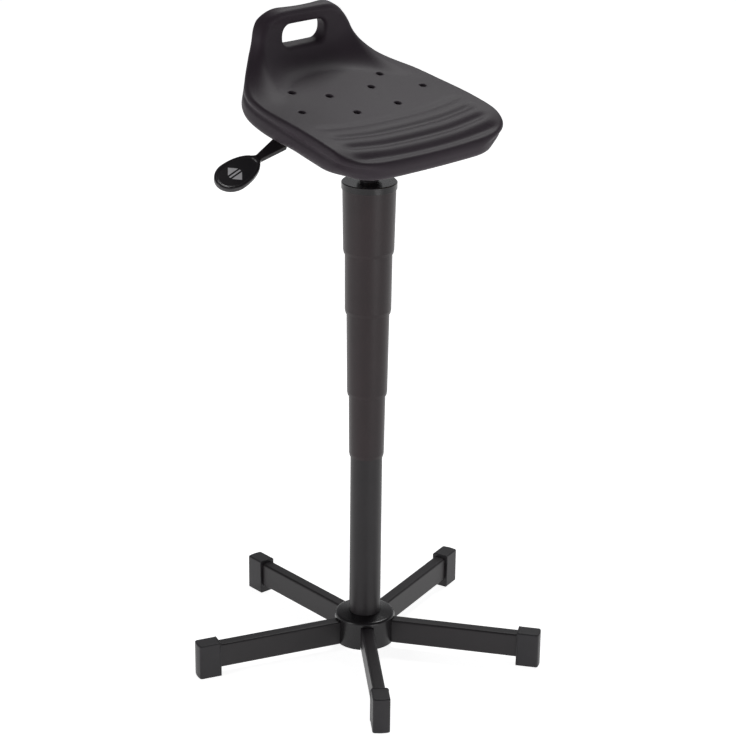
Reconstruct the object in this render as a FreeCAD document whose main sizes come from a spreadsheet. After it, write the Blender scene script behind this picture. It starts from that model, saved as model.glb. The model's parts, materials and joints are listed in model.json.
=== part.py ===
import FreeCAD, Part
import Sketcher
import math
import os
import re

# Perch stool on a gas lift, in millimetres.
# The origin is on the floor under the column, +Z is up, the sitter faces -Y,
# and the height lever is on the sitter's right, at -X.

LEG_COUNT = 5
BALL_COUNT = 10
FRONT_GROOVE_COUNT = 4

# Two places closer than this are the same place, and no edge that is looked for is shorter than the second
SAME_PLACE = 0.01
SHORTEST_EDGE = 1.0

SIZES = {
    # Star base
    "base_radius": 287.0,
    "first_leg_angle": -128.14,
    "leg_height": 40.0,
    "leg_width": 20.0,
    "leg_wall": 2.0,
    "leg_corner_radius": 3.5,
    "leg_ground_gap": 13.0,
    "foot_length": 37.0,
    "foot_side_wall": 3.5,
    "foot_top_wall": 4.5,
    "foot_socket_depth": 26.0,
    "foot_end_bulge": 2.0,
    "foot_bulge_radius": 40.0,
    "foot_corner_radius": 4.0,
    "foot_edge_radius": 2.5,
    "foot_sole_radius": 1.2,
    "push_fit_gap": 0.1,
    # Hub
    "hub_core_radius": 31.0,
    "hub_core_bottom": 11.0,
    "hub_core_top": 58.0,
    "hub_core_chamfer": 1.0,
    "hub_cover_radius": 48.0,
    "hub_cover_bottom": 14.0,
    "hub_cover_rim_height": 60.5,
    "hub_cover_top": 64.0,
    "hub_cover_wall": 3.0,
    "hub_shoulder_radius": 5.0,
    "hub_notch_gap": 0.4,
    "cover_bore_gap": 0.3,
    "taper_fit_gap": 0.03,
    # Stand tube and its bearings
    "stand_radius": 25.0,
    "stand_wall": 1.8,
    "stand_bottom": 16.0,
    "tube_insert_gap": 0.05,
    "floor_disc_thickness": 4.0,
    "running_gap": 0.06,
    "guide_length": 80.0,
    "guide_run": 35.48,
    "guide_flange_thickness": 3.0,
    "guide_flange_radius": 24.6,
    # Thrust bearing on the rod's foot
    "race_thickness": 1.5,
    "race_radius": 13.0,
    "race_bore_gap": 0.3,
    "ball_radius": 2.0,
    "ball_circle_radius": 9.0,
    "ball_seat_gap": 0.01,
    "cage_thickness": 1.6,
    "cage_inner_radius": 6.0,
    "cage_outer_radius": 12.0,
    "cage_pocket_gap": 0.15,
    "bumper_height": 12.0,
    "bumper_groove_depth": 1.5,
    "rod_radius": 5.0,
    "rod_tip_radius": 4.0,
    "rod_end_length": 1.5,
    "rod_groove_radius": 3.2,
    "washer_thickness": 1.4,
    "washer_radius": 9.0,
    "clip_thickness": 1.2,
    "clip_radius": 7.0,
    "clip_mouth_width": 4.0,
    "bearing_end_gap": 0.3,
    # Gas cylinder
    "cylinder_radius": 14.0,
    "cylinder_wall": 1.6,
    "cylinder_rise": 4.0,
    "cylinder_cone_length": 46.0,
    "cylinder_cone_radius": 13.2,
    "cylinder_neck_wall": 1.8,
    "cylinder_roof": 4.0,
    "lift_stroke": 260.0,
    "stroke_end_gap": 0.5,
    "end_guide_length": 20.0,
    "end_guide_inset": 1.0,
    "piston_length": 14.0,
    "piston_gap": 2.0,
    "valve_length": 42.0,
    "release_pin_radius": 4.0,
    "release_pin_length": 50.0,
    "release_pin_reach": 8.0,
    # Telescopic cover
    "sleeve_wall": 1.4,
    "sleeve_chamfer": 0.9,
    "sleeve_chamfer_height": 5.0,
    "sleeve_lip_height": 15.0,
    "sleeve_lip_gap": 0.35,
    "sleeve_bead_gap": 0.3,
    "sleeve_bead_height": 2.5,
    "sleeve_seat_gap": 0.05,
    "sleeve_one_length": 112.0,
    "sleeve_one_bottom_radius": 39.0,
    "sleeve_one_top_radius": 40.9,
    "sleeve_two_show": 96.0,
    "sleeve_two_bottom_radius": 35.75,
    "sleeve_two_top_radius": 36.5,
    "sleeve_three_show": 135.0,
    "sleeve_three_bottom_radius": 31.35,
    "sleeve_three_top_radius": 33.2,
    "sleeve_four_show": 103.0,
    "sleeve_four_bottom_radius": 27.45,
    "sleeve_four_top_radius": 28.75,
    "sleeve_cap_gap": 4.0,
    "sleeve_cap_disc": 3.0,
    "sleeve_cap_height": 10.5,
    "sleeve_cap_skirt": 1.4,
    "sleeve_cap_edge": 1.2,
    # Seat
    "seat_height": 899.2,
    "seat_tilt": 12.62,
    "pan_thickness": 38.0,
    "seat_front": 160.0,
    "seat_back": 176.0,
    "front_half_width": 165.0,
    "back_half_width": 173.0,
    "front_corner_radius": 55.0,
    "back_corner_radius": 145.0,
    "handle_height": 92.0,
    "handle_top_half_width": 60.0,
    "handle_top_radius": 24.0,
    "handle_waist_half_width": 103.0,
    "handle_waist_height": 17.0,
    "handle_waist_radius": 60.0,
    "handle_foot_half_width": 138.0,
    "handle_foot_radius": 40.0,
    "back_curve_radius": 200.0,
    "back_curve_centre": 44.0,
    "back_fillet_radius": 42.0,
    "roll_corner": 109.0,
    "roll_radius": 236.0,
    "nose_drop": 17.2,
    "nose_radius": 10.0,
    "rim_radius": 8.0,
    "underside_radius": 10.0,
    "grip_width": 78.0,
    "grip_height": 36.0,
    "grip_centre_height": 46.0,
    "grip_corner_radius": 15.0,
    "grip_rim_radius": 5.0,
    "groove_first": 60.0,
    "groove_pitch": 27.0,
    "groove_radius": 15.6,
    "groove_depth": 2.2,
    "groove_first_depth": 1.0,
    "groove_half_length": 138.0,
    "groove_end_radius": 12.0,
    "vent_radius": 4.8,
    "vent_front_x": 41.5,
    "vent_front_s": 15.9,
    "vent_side_x": 123.0,
    "vent_side_s": -14.8,
    "vent_middle_x": 42.7,
    "vent_middle_s": -44.6,
    "vent_back_x": 89.4,
    "vent_back_s": -76.0,
    # Board moulded into the underside, and the plate that is bolted to it
    "board_thickness": 10.0,
    "board_half_width": 135.0,
    "board_front": 105.0,
    "board_back": 100.0,
    "board_corner_radius": 25.0,
    "plate_thickness": 3.0,
    "plate_half_width": 95.0,
    "plate_half_depth": 75.0,
    "plate_corner_radius": 14.0,
    "bolt_x": 78.0,
    "bolt_y": 58.0,
    "bolt_radius": 3.95,
    "bolt_hole_radius": 4.4,
    "bolt_head_radius": 6.6,
    "bolt_head_height": 4.4,
    "bolt_reach": 8.0,
    "bolt_washer_radius": 8.5,
    "bolt_washer_thickness": 1.6,
    "nut_radius": 5.5,
    "nut_length": 9.0,
    # Mechanism under the plate
    "housing_half_length": 62.0,
    "housing_half_width": 38.0,
    "housing_wall": 3.0,
    "housing_drop": 87.2,
    "housing_bend_radius": 4.0,
    "socket_radius": 19.0,
    "socket_below_floor": 28.0,
    "socket_above_floor": 22.0,
    "socket_chamfer": 1.0,
    "pivot_x": -34.0,
    "pivot_rise": 26.0,
    "pivot_radius": 3.0,
    "pivot_head_radius": 5.0,
    "pivot_head_thickness": 2.0,
    "pivot_end": 3.0,
    "pivot_clip_radius": 5.5,
    "pivot_clip_thickness": 1.2,
    "pivot_side_gap": 0.2,
    # Lever
    "block_half_width": 10.0,
    "block_outer_x": -46.0,
    "block_inner_x": -25.0,
    "block_below_pivot": 6.5,
    "block_above_pivot": 14.0,
    "tongue_tip_x": 7.0,
    "tongue_thickness": 5.0,
    "tongue_gap": 0.1,
    "wire_radius": 3.2,
    "wire_rise": 8.5,
    "wire_depth": 16.0,
    "wire_first_bend_x": -64.0,
    "wire_bend_radius": 24.0,
    "neck_x": -179.8,
    "neck_y": 45.0,
    "neck_rise": 26.1,
    "lever_slope_angle": 19.63,
    "lever_twist_angle": 28.7,
    "wire_run": 55.0,
    "wire_end": 8.0,
    "arm_length": 46.0,
    "arm_root_half_width": 12.6,
    "arm_neck_half_width": 5.8,
    "arm_thickness": 10.0,
    "arm_edge_radius": 3.0,
    "paddle_start": 2.0,
    "paddle_widest": 52.0,
    "paddle_end": 81.5,
    "paddle_half_width": 24.8,
    "paddle_thickness": 9.0,
    "paddle_edge_radius": 3.6,
}

# Heights above the floor that follow from the sizes
LEVELS = {
    # Column, counted up from the thrust bearing
    "disc_top": "stand_bottom + floor_disc_thickness",
    "lower_race_top": "disc_top + race_thickness",
    "ball_centre": "lower_race_top + ball_seat_gap + ball_radius",
    "upper_race_bottom": "ball_centre + ball_radius + ball_seat_gap",
    "rod_shoulder": "upper_race_bottom + race_thickness",
    "bumper_top": "rod_shoulder + bumper_height",
    "cylinder_bottom": "bumper_top + lift_stroke + stroke_end_gap",
    "stand_top": "cylinder_bottom + guide_run + guide_length",
    # Carrier, counted down from the seat
    "housing_floor": "seat_height - housing_drop",
    "socket_bottom": "housing_floor - socket_below_floor",
    "socket_top": "housing_floor + socket_above_floor",
    "cylinder_top": "socket_top + cylinder_rise",
    "pivot_z": "housing_floor + pivot_rise",
    "wire_height": "pivot_z + wire_rise",
    "neck_z": "housing_floor + neck_rise",
    "sleeve_cap_top": "socket_bottom - sleeve_cap_gap",
    "sleeve_one_bottom": "sleeve_cap_top - sleeve_one_length",
    "sleeve_two_bottom": "sleeve_one_bottom - sleeve_two_show",
    "sleeve_three_bottom": "sleeve_two_bottom - sleeve_three_show",
    "sleeve_four_bottom": "sleeve_three_bottom - sleeve_four_show",
}

doc = FreeCAD.newDocument("perch_stool")
sheet = doc.addObject("Spreadsheet::Sheet", "Sizes")
cells = {**SIZES, **{alias: f"={formula}" for alias, formula in LEVELS.items()}}
for row, (alias, content) in enumerate(cells.items(), 1):
    sheet.set(f"A{row}", alias)
    sheet.set(f"B{row}", str(content))
    sheet.setAlias(f"B{row}", alias)
doc.recompute()

nodes = []


def named(formula):
    """The formula with each size's name pointing at the sheet."""
    return re.sub(r"[a-z_]+", lambda word: "Sizes." * (word.group() in cells) + word.group(), formula)


def figure_of(formula):
    """What a formula over the sheet's sizes comes to."""
    return float(sheet.evalExpression(named(formula)))


def bind(thing, path, formula):
    thing.setExpression(path, named(formula))


def place(thing, x="0", y="0", z="0", turn="0", axis=(0, 0, 1)):
    """Puts a piece at a place and turns it about an axis through it."""
    attitude = FreeCAD.Rotation(FreeCAD.Vector(*axis), figure_of(turn))
    thing.Placement = FreeCAD.Placement(FreeCAD.Vector(figure_of(x), figure_of(y), figure_of(z)), attitude)
    for letter, formula in (("x", x), ("y", y), ("z", z)):
        bind(thing, f"Placement.Base.{letter}", formula)
    bind(thing, "Placement.Rotation.Angle", turn)


def as_node(thing, label):
    """Registers a finished piece under its own name."""
    thing.Label = label
    nodes.append(thing)
    return thing


def new_body(label):
    return as_node(doc.addObject("PartDesign::Body", label), label)


def origin_part(body, role):
    return next(part for part in body.Origin.OriginFeatures if part.Role == role)


def sketch_on(body, plane, name, offset=("0", "0", "0")):
    """Sketch on one of the body's own planes, its origin moved along its own axes."""
    sketch = body.newObject("Sketcher::SketchObject", name)
    sketch.AttachmentSupport = [(origin_part(body, plane), "")]
    sketch.MapMode = "FlatFace"
    for letter, formula in zip("xyz", offset):
        bind(sketch, f"AttachmentOffset.Base.{letter}", formula)
    return sketch


def pin_down(sketch, geometry, end, x, y):
    """Fixes a point of the sketch at formulas for its two coordinates."""
    for kind, formula in (("DistanceX", x), ("DistanceY", y)):
        number = sketch.addConstraint(Sketcher.Constraint(kind, -1, 1, geometry, end, figure_of(formula)))
        bind(sketch, f"Constraints[{number}]", formula)


def outline(sketch, corners):
    """Closed outline through corners (x, y) or, rounded, (x, y, radius), all as formulas."""
    count = len(corners)
    points = [FreeCAD.Vector(figure_of(corner[0]), figure_of(corner[1]), 0) for corner in corners]
    starts = []
    ends = []
    turns = []
    for index, corner in enumerate(corners):
        here = points[index]
        back = (points[index - 1] - here).normalize()
        ahead = (points[(index + 1) % count] - here).normalize()
        radius = figure_of(corner[2]) if len(corner) > 2 else 0.0
        half = back.getAngle(ahead) / 2.0
        reach = radius / math.tan(half)
        ends.append(here + back * reach)
        starts.append(here + ahead * reach)
        left = back.cross(ahead).z < 0
        centre = here + (back + ahead).normalize() * (radius / math.sin(half))
        turns.append((radius, left, centre))
    lines = []
    for index in range(count):
        segment = Part.LineSegment(starts[index], ends[(index + 1) % count])
        lines.append(sketch.addGeometry(segment))
    for index, corner in enumerate(corners):
        incoming = lines[index - 1]
        outgoing = lines[index]
        radius, left, centre = turns[index]
        if not radius:
            sketch.addConstraint(Sketcher.Constraint("Coincident", incoming, 2, outgoing, 1))
            pin_down(sketch, outgoing, 1, corner[0], corner[1])
            continue
        first, last = (ends[index], starts[index]) if left else (starts[index], ends[index])
        circle = Part.Circle(centre, FreeCAD.Vector(0, 0, 1), radius)
        arc = Part.ArcOfCircle(circle, circle.parameter(first), circle.parameter(last))
        bend = sketch.addGeometry(arc)
        peak = sketch.addGeometry(Part.Point(points[index]), True)
        pin_down(sketch, peak, 1, corner[0], corner[1])
        near, far = (1, 2) if left else (2, 1)
        sketch.addConstraint(Sketcher.Constraint("Tangent", incoming, 2, bend, near))
        sketch.addConstraint(Sketcher.Constraint("Tangent", outgoing, 1, bend, far))
        sketch.addConstraint(Sketcher.Constraint("PointOnObject", peak, 1, incoming))
        sketch.addConstraint(Sketcher.Constraint("PointOnObject", peak, 1, outgoing))
        number = sketch.addConstraint(Sketcher.Constraint("Radius", bend, radius))
        bind(sketch, f"Constraints[{number}]", corner[2])


def rectangle(sketch, x_low, x_high, y_low, y_high, radius=None):
    """Closed rectangle, with rounded corners where a radius is given."""
    corners = [(x_low, y_low), (x_high, y_low), (x_high, y_high), (x_low, y_high)]
    outline(sketch, [corner + ((radius,) if radius else ()) for corner in corners])


def round_hole(sketch, x, y, radius):
    centre = FreeCAD.Vector(figure_of(x), figure_of(y), 0)
    circle = sketch.addGeometry(Part.Circle(centre, FreeCAD.Vector(0, 0, 1), figure_of(radius)))
    pin_down(sketch, circle, 3, x, y)
    number = sketch.addConstraint(Sketcher.Constraint("Radius", circle, figure_of(radius)))
    bind(sketch, f"Constraints[{number}]", radius)


def add(body, kind, sketch, length=None, both_ways=False, back_to_front=False):
    """Adds a pad or pocket, and makes sure that it changes the volume."""
    before = 0.0 if kind.endswith("Pad") else body.Shape.Volume
    feature = body.newObject(kind, kind.split("::")[1])
    feature.Profile = sketch
    bind(feature, "Length", length)
    if both_ways:
        feature.SideType = "Symmetric"
    feature.Reversed = back_to_front
    doc.recompute()
    if abs(feature.Shape.Volume - before) < 1e-3:
        raise RuntimeError(f"{body.Label}: {feature.Name} changes nothing")
    return feature


def pad(body, sketch, length, both_ways=False, back_to_front=False):
    return add(body, "PartDesign::Pad", sketch, length, both_ways, back_to_front)


def pocket(body, sketch, length, both_ways=False, back_to_front=False):
    return add(body, "PartDesign::Pocket", sketch, length, both_ways, back_to_front)


def spin(body, kind, sketch, axis="V_Axis"):
    """Adds a full revolution or groove about one of the sketch's axes."""
    before = body.Shape.Volume if kind.endswith("Groove") else 0.0
    feature = body.newObject(kind, kind.split("::")[1])
    feature.Profile = sketch
    feature.ReferenceAxis = (sketch, [axis])
    feature.Angle = 360
    doc.recompute()
    if abs(feature.Shape.Volume - before) < 1e-3:
        raise RuntimeError(f"{body.Label}: {feature.Name} changes nothing")
    return feature


def round_edges(body, radius, chosen):
    """Rounds the edges of the body's last feature that the test picks."""
    base = body.Tip
    names = [f"Edge{number}" for number, edge in enumerate(base.Shape.Edges, 1) if chosen(edge)]
    if not names:
        raise RuntimeError(f"{body.Label}: no edge to round")
    feature = body.newObject("PartDesign::Fillet", "Fillet")
    feature.Base = (base, names)
    bind(feature, "Radius", radius)
    doc.recompute()
    return feature


def around(body, feature, count):
    """Repeats a feature evenly about the body's own Z axis."""
    pattern = body.newObject("PartDesign::PolarPattern", "PolarPattern")
    pattern.Originals = [feature]
    pattern.Axis = (origin_part(body, "Z_Axis"), [""])
    pattern.Angle = 360
    pattern.Occurrences = count
    body.Tip = pattern
    doc.recompute()
    return pattern


def turned(label, corners):
    """Piece turned about the column's axis, its half section given as (radius, height)."""
    body = new_body(label)
    sketch = sketch_on(body, "XZ_Plane", "HalfSection")
    outline(sketch, corners)
    spin(body, "PartDesign::Revolution", sketch)
    return body


def upright_at(x, y):
    """Test for a straight upright edge at formulas for its place."""
    def found(edge):
        box = edge.BoundBox
        flat = max(abs(box.XMin - figure_of(x)), abs(box.XMax - figure_of(x)),
                   abs(box.YMin - figure_of(y)), abs(box.YMax - figure_of(y)))
        return flat < SAME_PLACE and box.ZLength > SHORTEST_EDGE
    return found


def level_at(z):
    """Test for an edge that lies flat at a height."""
    def found(edge):
        box = edge.BoundBox
        return abs(box.ZMin - figure_of(z)) < SAME_PLACE and abs(box.ZMax - figure_of(z)) < SAME_PLACE
    return found


# Hub: a steel core that the legs are welded to, under a moulded cover

turned("hub_core", [
    ("stand_radius + taper_fit_gap", "hub_core_bottom"),
    ("hub_core_radius", "hub_core_bottom"),
    ("hub_core_radius", "hub_core_top - hub_core_chamfer"),
    ("hub_core_radius - hub_core_chamfer", "hub_core_top"),
    ("stand_radius + taper_fit_gap", "hub_core_top"),
])

cover = turned("hub_cover", [
    ("hub_cover_radius - hub_cover_wall", "hub_cover_bottom"),
    ("hub_cover_radius", "hub_cover_bottom"),
    ("hub_cover_radius", "hub_cover_rim_height", "hub_shoulder_radius"),
    ("stand_radius + cover_bore_gap", "hub_cover_top"),
    ("stand_radius + cover_bore_gap", "hub_cover_top - hub_cover_wall"),
    ("hub_cover_radius - hub_cover_wall", "hub_cover_rim_height - hub_cover_wall"),
])
place(cover, turn="first_leg_angle")
notch = sketch_on(cover, "YZ_Plane", "LegNotch")
rectangle(notch, "-leg_width / 2 - hub_notch_gap", "leg_width / 2 + hub_notch_gap",
          "hub_cover_bottom - 1", "leg_ground_gap + leg_height + hub_notch_gap")
around(cover, pocket(cover, notch, "hub_cover_radius + 1", back_to_front=True), LEG_COUNT)


def leg(number):
    """Rectangular steel tube from the hub's core into its foot cap."""
    body = new_body(f"leg_{number}")
    place(body, turn=f"first_leg_angle + {360 / LEG_COUNT * (number - 1)}")
    start = "sqrt(hub_core_radius ^ 2 - leg_width ^ 2 / 4)"
    section = sketch_on(body, "YZ_Plane", "TubeSection", ("0", "0", start))
    rectangle(section, "-leg_width / 2", "leg_width / 2",
              "leg_ground_gap", "leg_ground_gap + leg_height", "leg_corner_radius")
    rectangle(section, "leg_wall - leg_width / 2", "leg_width / 2 - leg_wall",
              "leg_ground_gap + leg_wall", "leg_ground_gap + leg_height - leg_wall",
              "leg_corner_radius - leg_wall")
    pad(body, section, f"base_radius - foot_length + foot_socket_depth - {start}")
    cope = sketch_on(body, "XY_Plane", "CopedEnd")
    round_hole(cope, "0", "0", "hub_core_radius")
    pocket(body, cope, "leg_ground_gap + leg_height + 1", back_to_front=True)


def foot_cap(number):
    """Moulded cap round the end of a leg, with the foot that stands on the floor."""
    body = new_body(f"foot_cap_{number}")
    place(body, turn=f"first_leg_angle + {360 / LEG_COUNT * (number - 1)}")
    plan = sketch_on(body, "XY_Plane", "Plan")
    side = "leg_width / 2 + foot_side_wall"
    inner = "base_radius - foot_length"
    outline(plan, [
        (inner, f"-({side})"),
        ("base_radius - foot_end_bulge", f"-({side})", "foot_corner_radius"),
        ("base_radius", "0", "foot_bulge_radius"),
        ("base_radius - foot_end_bulge", side, "foot_corner_radius"),
        (inner, side),
    ])
    top = "leg_ground_gap + leg_height + foot_top_wall"
    pad(body, plan, top)

    def not_inner(edge):
        return edge.BoundBox.XMax > figure_of(inner) + SAME_PLACE

    round_edges(body, "foot_edge_radius", lambda edge: level_at(top)(edge) and not_inner(edge))
    round_edges(body, "foot_sole_radius", lambda edge: level_at("0")(edge) and not_inner(edge))
    socket = sketch_on(body, "YZ_Plane", "TubeSlot", ("0", "0", inner))
    rectangle(socket, "-leg_width / 2 - push_fit_gap", "leg_width / 2 + push_fit_gap",
              "leg_ground_gap - push_fit_gap", "leg_ground_gap + leg_height + push_fit_gap",
              "leg_corner_radius + push_fit_gap")
    rectangle(socket, "leg_wall + push_fit_gap - leg_width / 2", "leg_width / 2 - leg_wall - push_fit_gap",
              "leg_ground_gap + leg_wall + push_fit_gap",
              "leg_ground_gap + leg_height - leg_wall - push_fit_gap",
              "leg_corner_radius - leg_wall - push_fit_gap")
    pocket(body, socket, "foot_socket_depth", back_to_front=True)


for number in range(1, LEG_COUNT + 1):
    leg(number)
    foot_cap(number)

# Column: stand tube with its floor disc and guide bush

bore = "stand_radius - stand_wall"
turned("stand_tube", [
    (bore, "stand_bottom"),
    ("stand_radius", "stand_bottom"),
    ("stand_radius", "stand_top"),
    (bore, "stand_top"),
])
turned("floor_disc", [
    ("rod_tip_radius + running_gap", "stand_bottom"),
    (f"{bore} - tube_insert_gap", "stand_bottom"),
    (f"{bore} - tube_insert_gap", "disc_top"),
    ("rod_tip_radius + running_gap", "disc_top"),
])
turned("guide_bush", [
    ("cylinder_radius + running_gap", "stand_top - guide_length"),
    (f"{bore} - tube_insert_gap", "stand_top - guide_length"),
    (f"{bore} - tube_insert_gap", "stand_top"),
    ("guide_flange_radius", "stand_top"),
    ("guide_flange_radius", "stand_top + guide_flange_thickness"),
    ("cylinder_radius + running_gap", "stand_top + guide_flange_thickness"),
])

# Thrust bearing between the floor disc and the rod, and what holds the rod down


def ring(label, inner, outer, low, high):
    """Plain ring about the column's axis."""
    return turned(label, [(inner, low), (outer, low), (outer, high), (inner, high)])


washer_top = "stand_bottom - bearing_end_gap"
clip_top = f"{washer_top} - washer_thickness"
rod_tip = f"{clip_top} - clip_thickness - rod_end_length"

ring("lower_race", "rod_tip_radius + race_bore_gap", "race_radius", "disc_top", "lower_race_top")
cage = ring("ball_cage", "cage_inner_radius", "cage_outer_radius",
            "ball_centre - cage_thickness / 2", "ball_centre + cage_thickness / 2")
ball_pocket = sketch_on(cage, "XY_Plane", "BallPocket", ("0", "0", "ball_centre"))
round_hole(ball_pocket, "ball_circle_radius", "0", "ball_radius + cage_pocket_gap")
around(cage, pocket(cage, ball_pocket, "2 * cage_thickness", both_ways=True), BALL_COUNT)

balls = []
for number in range(BALL_COUNT):
    ball = doc.addObject("Part::Sphere", f"Ball{number + 1}")
    bind(ball, "Radius", "ball_radius")
    angle = 360 / BALL_COUNT * number
    place(ball, f"ball_circle_radius * cos({angle})", f"ball_circle_radius * sin({angle})", "ball_centre")
    balls.append(ball)
ball_set = as_node(doc.addObject("Part::Compound", "BallSet"), "bearing_balls")
ball_set.Links = balls

ring("upper_race", "rod_tip_radius + taper_fit_gap", "race_radius", "upper_race_bottom", "rod_shoulder")
turned("bump_stop", [
    ("rod_radius", "rod_shoulder"),
    ("race_radius", "rod_shoulder"),
    ("race_radius - bumper_groove_depth", "rod_shoulder + bumper_height / 2"),
    ("race_radius", "bumper_top"),
    ("rod_radius", "bumper_top"),
])
ring("rod_washer", "rod_tip_radius + taper_fit_gap", "washer_radius", clip_top, washer_top)
clip = ring("rod_clip", "rod_groove_radius", "clip_radius", f"{clip_top} - clip_thickness", clip_top)
mouth = sketch_on(clip, "XY_Plane", "Mouth", ("0", "0", clip_top))
rectangle(mouth, "0", "clip_radius + 1", "-clip_mouth_width / 2", "clip_mouth_width / 2")
pocket(clip, mouth, "2 * clip_thickness", both_ways=True)

# Gas lift: rod and piston stand on the bearing, the cylinder slides over them

end_guide_top = "cylinder_bottom + end_guide_inset + end_guide_length"
piston_bottom = f"{end_guide_top} + piston_gap"
piston_top = f"{piston_bottom} + piston_length"
gas_bore = "cylinder_radius - cylinder_wall"
cone_bottom = "cylinder_top - cylinder_cone_length"
neck_bore = "cylinder_cone_radius - cylinder_neck_wall"

turned("piston_rod", [
    ("0", rod_tip),
    ("rod_tip_radius", rod_tip),
    ("rod_tip_radius", f"{clip_top} - clip_thickness"),
    ("rod_groove_radius", f"{clip_top} - clip_thickness"),
    ("rod_groove_radius", clip_top),
    ("rod_tip_radius", clip_top),
    ("rod_tip_radius", "rod_shoulder"),
    ("rod_radius", "rod_shoulder"),
    ("rod_radius", piston_top),
    ("0", piston_top),
])
ring("gas_piston", "rod_radius", f"{gas_bore} - running_gap", piston_bottom, piston_top)
turned("gas_cylinder", [
    (gas_bore, "cylinder_bottom"),
    ("cylinder_radius", "cylinder_bottom"),
    ("cylinder_radius", cone_bottom),
    ("cylinder_cone_radius", "cylinder_top"),
    ("release_pin_radius + running_gap", "cylinder_top"),
    ("release_pin_radius + running_gap", "cylinder_top - cylinder_roof"),
    (neck_bore, "cylinder_top - cylinder_roof"),
    (neck_bore, f"{cone_bottom} - cylinder_neck_wall"),
    (gas_bore, f"{cone_bottom} - cylinder_neck_wall - cylinder_neck_wall"),
])
ring("end_guide", "rod_radius + running_gap", f"{gas_bore} - taper_fit_gap",
     "cylinder_bottom + end_guide_inset", end_guide_top)
ring("valve_block", "release_pin_radius + running_gap", f"{neck_bore} - taper_fit_gap",
     "cylinder_top - cylinder_roof - valve_length", "cylinder_top - cylinder_roof")
pin_top = "cylinder_top + release_pin_reach"
turned("release_pin", [
    ("0", f"{pin_top} - release_pin_length"),
    ("release_pin_radius", f"{pin_top} - release_pin_length"),
    ("release_pin_radius", pin_top),
    ("0", pin_top),
])

# Telescopic cover: each sleeve hangs by its bead on the lip of the wider one above it


def sleeve_shape(size, upper=None, lower=None):
    """Half section of a drafted sleeve; the lowest has no lip and the highest no bead."""
    low = f"sleeve_{size}_bottom"
    low_radius = f"sleeve_{size}_bottom_radius"
    high_radius = f"sleeve_{size}_top_radius"
    high = f"sleeve_{upper}_bottom + sleeve_lip_height + sleeve_seat_gap + sleeve_bead_height" if upper \
        else "sleeve_cap_top - sleeve_cap_disc"
    lip_top = f"{low} + sleeve_lip_height"
    lip_radius = f"sleeve_{lower}_top_radius + sleeve_lip_gap" if lower else f"{low_radius} - sleeve_wall"
    corners = [
        (lip_radius, low),
        (f"{low_radius} - sleeve_chamfer", low),
        (low_radius, f"{low} + sleeve_chamfer_height"),
    ]
    if upper:
        bead = f"sleeve_{upper}_bottom_radius - sleeve_wall - sleeve_bead_gap"
        corners += [
            (high_radius, f"{high} - sleeve_bead_height"),
            (bead, f"{high} - sleeve_bead_height"),
            (bead, high),
        ]
    else:
        corners.append((high_radius, high))
    corners.append((f"{high_radius} - sleeve_wall", high))
    if lower:
        corners += [(f"{low_radius} - sleeve_wall", lip_top), (lip_radius, lip_top)]
    return corners


cap_radius = "sleeve_one_top_radius + push_fit_gap + sleeve_cap_skirt"
turned("sleeve_cap", [
    ("cylinder_radius + running_gap", "sleeve_cap_top - sleeve_cap_disc"),
    ("sleeve_one_top_radius + push_fit_gap", "sleeve_cap_top - sleeve_cap_disc"),
    ("sleeve_one_top_radius + push_fit_gap", "sleeve_cap_top - sleeve_cap_height"),
    (cap_radius, "sleeve_cap_top - sleeve_cap_height"),
    (cap_radius, "sleeve_cap_top - sleeve_cap_edge"),
    (f"{cap_radius} - sleeve_cap_edge", "sleeve_cap_top"),
    ("cylinder_radius + running_gap", "sleeve_cap_top"),
])
turned("sleeve_1", sleeve_shape("one", lower="two"))
turned("sleeve_2", sleeve_shape("two", upper="one", lower="three"))
turned("sleeve_3", sleeve_shape("three", upper="two", lower="four"))
turned("sleeve_4", sleeve_shape("four", upper="three"))

# Seat carrier: socket, folded housing and plate


def cone_radius(height):
    """Radius of the cylinder's cone at a height."""
    slope = "(cylinder_radius - cylinder_cone_radius) / cylinder_cone_length"
    return f"(cylinder_radius - {slope} * ({height} - ({cone_bottom})) + taper_fit_gap)"


turned("cone_socket", [
    ("cylinder_radius + taper_fit_gap", "socket_bottom"),
    ("socket_radius - socket_chamfer", "socket_bottom"),
    ("socket_radius", "socket_bottom + socket_chamfer"),
    ("socket_radius", "socket_top"),
    (cone_radius("socket_top"), "socket_top"),
    ("cylinder_radius + taper_fit_gap", cone_bottom),
])


def under_plate(y):
    """Height of the tilted plate's underside at a distance y behind the column."""
    return f"(seat_height + ({y} * sin(seat_tilt) - pan_thickness - plate_thickness) / cos(seat_tilt))"


housing = new_body("mechanism_housing")
channel = sketch_on(housing, "YZ_Plane", "FoldedSection")
wide = "housing_half_width"
inside = "(housing_half_width - housing_wall)"
outline(channel, [
    (f"-{wide}", "housing_floor", "housing_bend_radius"),
    (wide, "housing_floor", "housing_bend_radius"),
    (wide, under_plate(wide)),
    (inside, under_plate(inside)),
    (inside, "housing_floor + housing_wall", "housing_bend_radius - housing_wall"),
    (f"-{inside}", "housing_floor + housing_wall", "housing_bend_radius - housing_wall"),
    (f"-{inside}", under_plate(f"(-{inside})")),
    (f"-{wide}", under_plate(f"(-{wide})")),
])
pad(housing, channel, "2 * housing_half_length", both_ways=True)
socket_hole = sketch_on(housing, "XY_Plane", "SocketHole", ("0", "0", "housing_floor"))
round_hole(socket_hole, "0", "0", "socket_radius")
pocket(housing, socket_hole, "3 * housing_wall", both_ways=True)
pivot_holes = sketch_on(housing, "XZ_Plane", "PivotHoles")
round_hole(pivot_holes, "pivot_x", "pivot_z", "pivot_radius")
pocket(housing, pivot_holes, "3 * housing_half_width", both_ways=True)


def on_seat(thing):
    """Places a piece that is drawn in the seat's own tilted frame."""
    place(thing, z="seat_height", turn="seat_tilt", axis=(1, 0, 0))
    return thing


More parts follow.
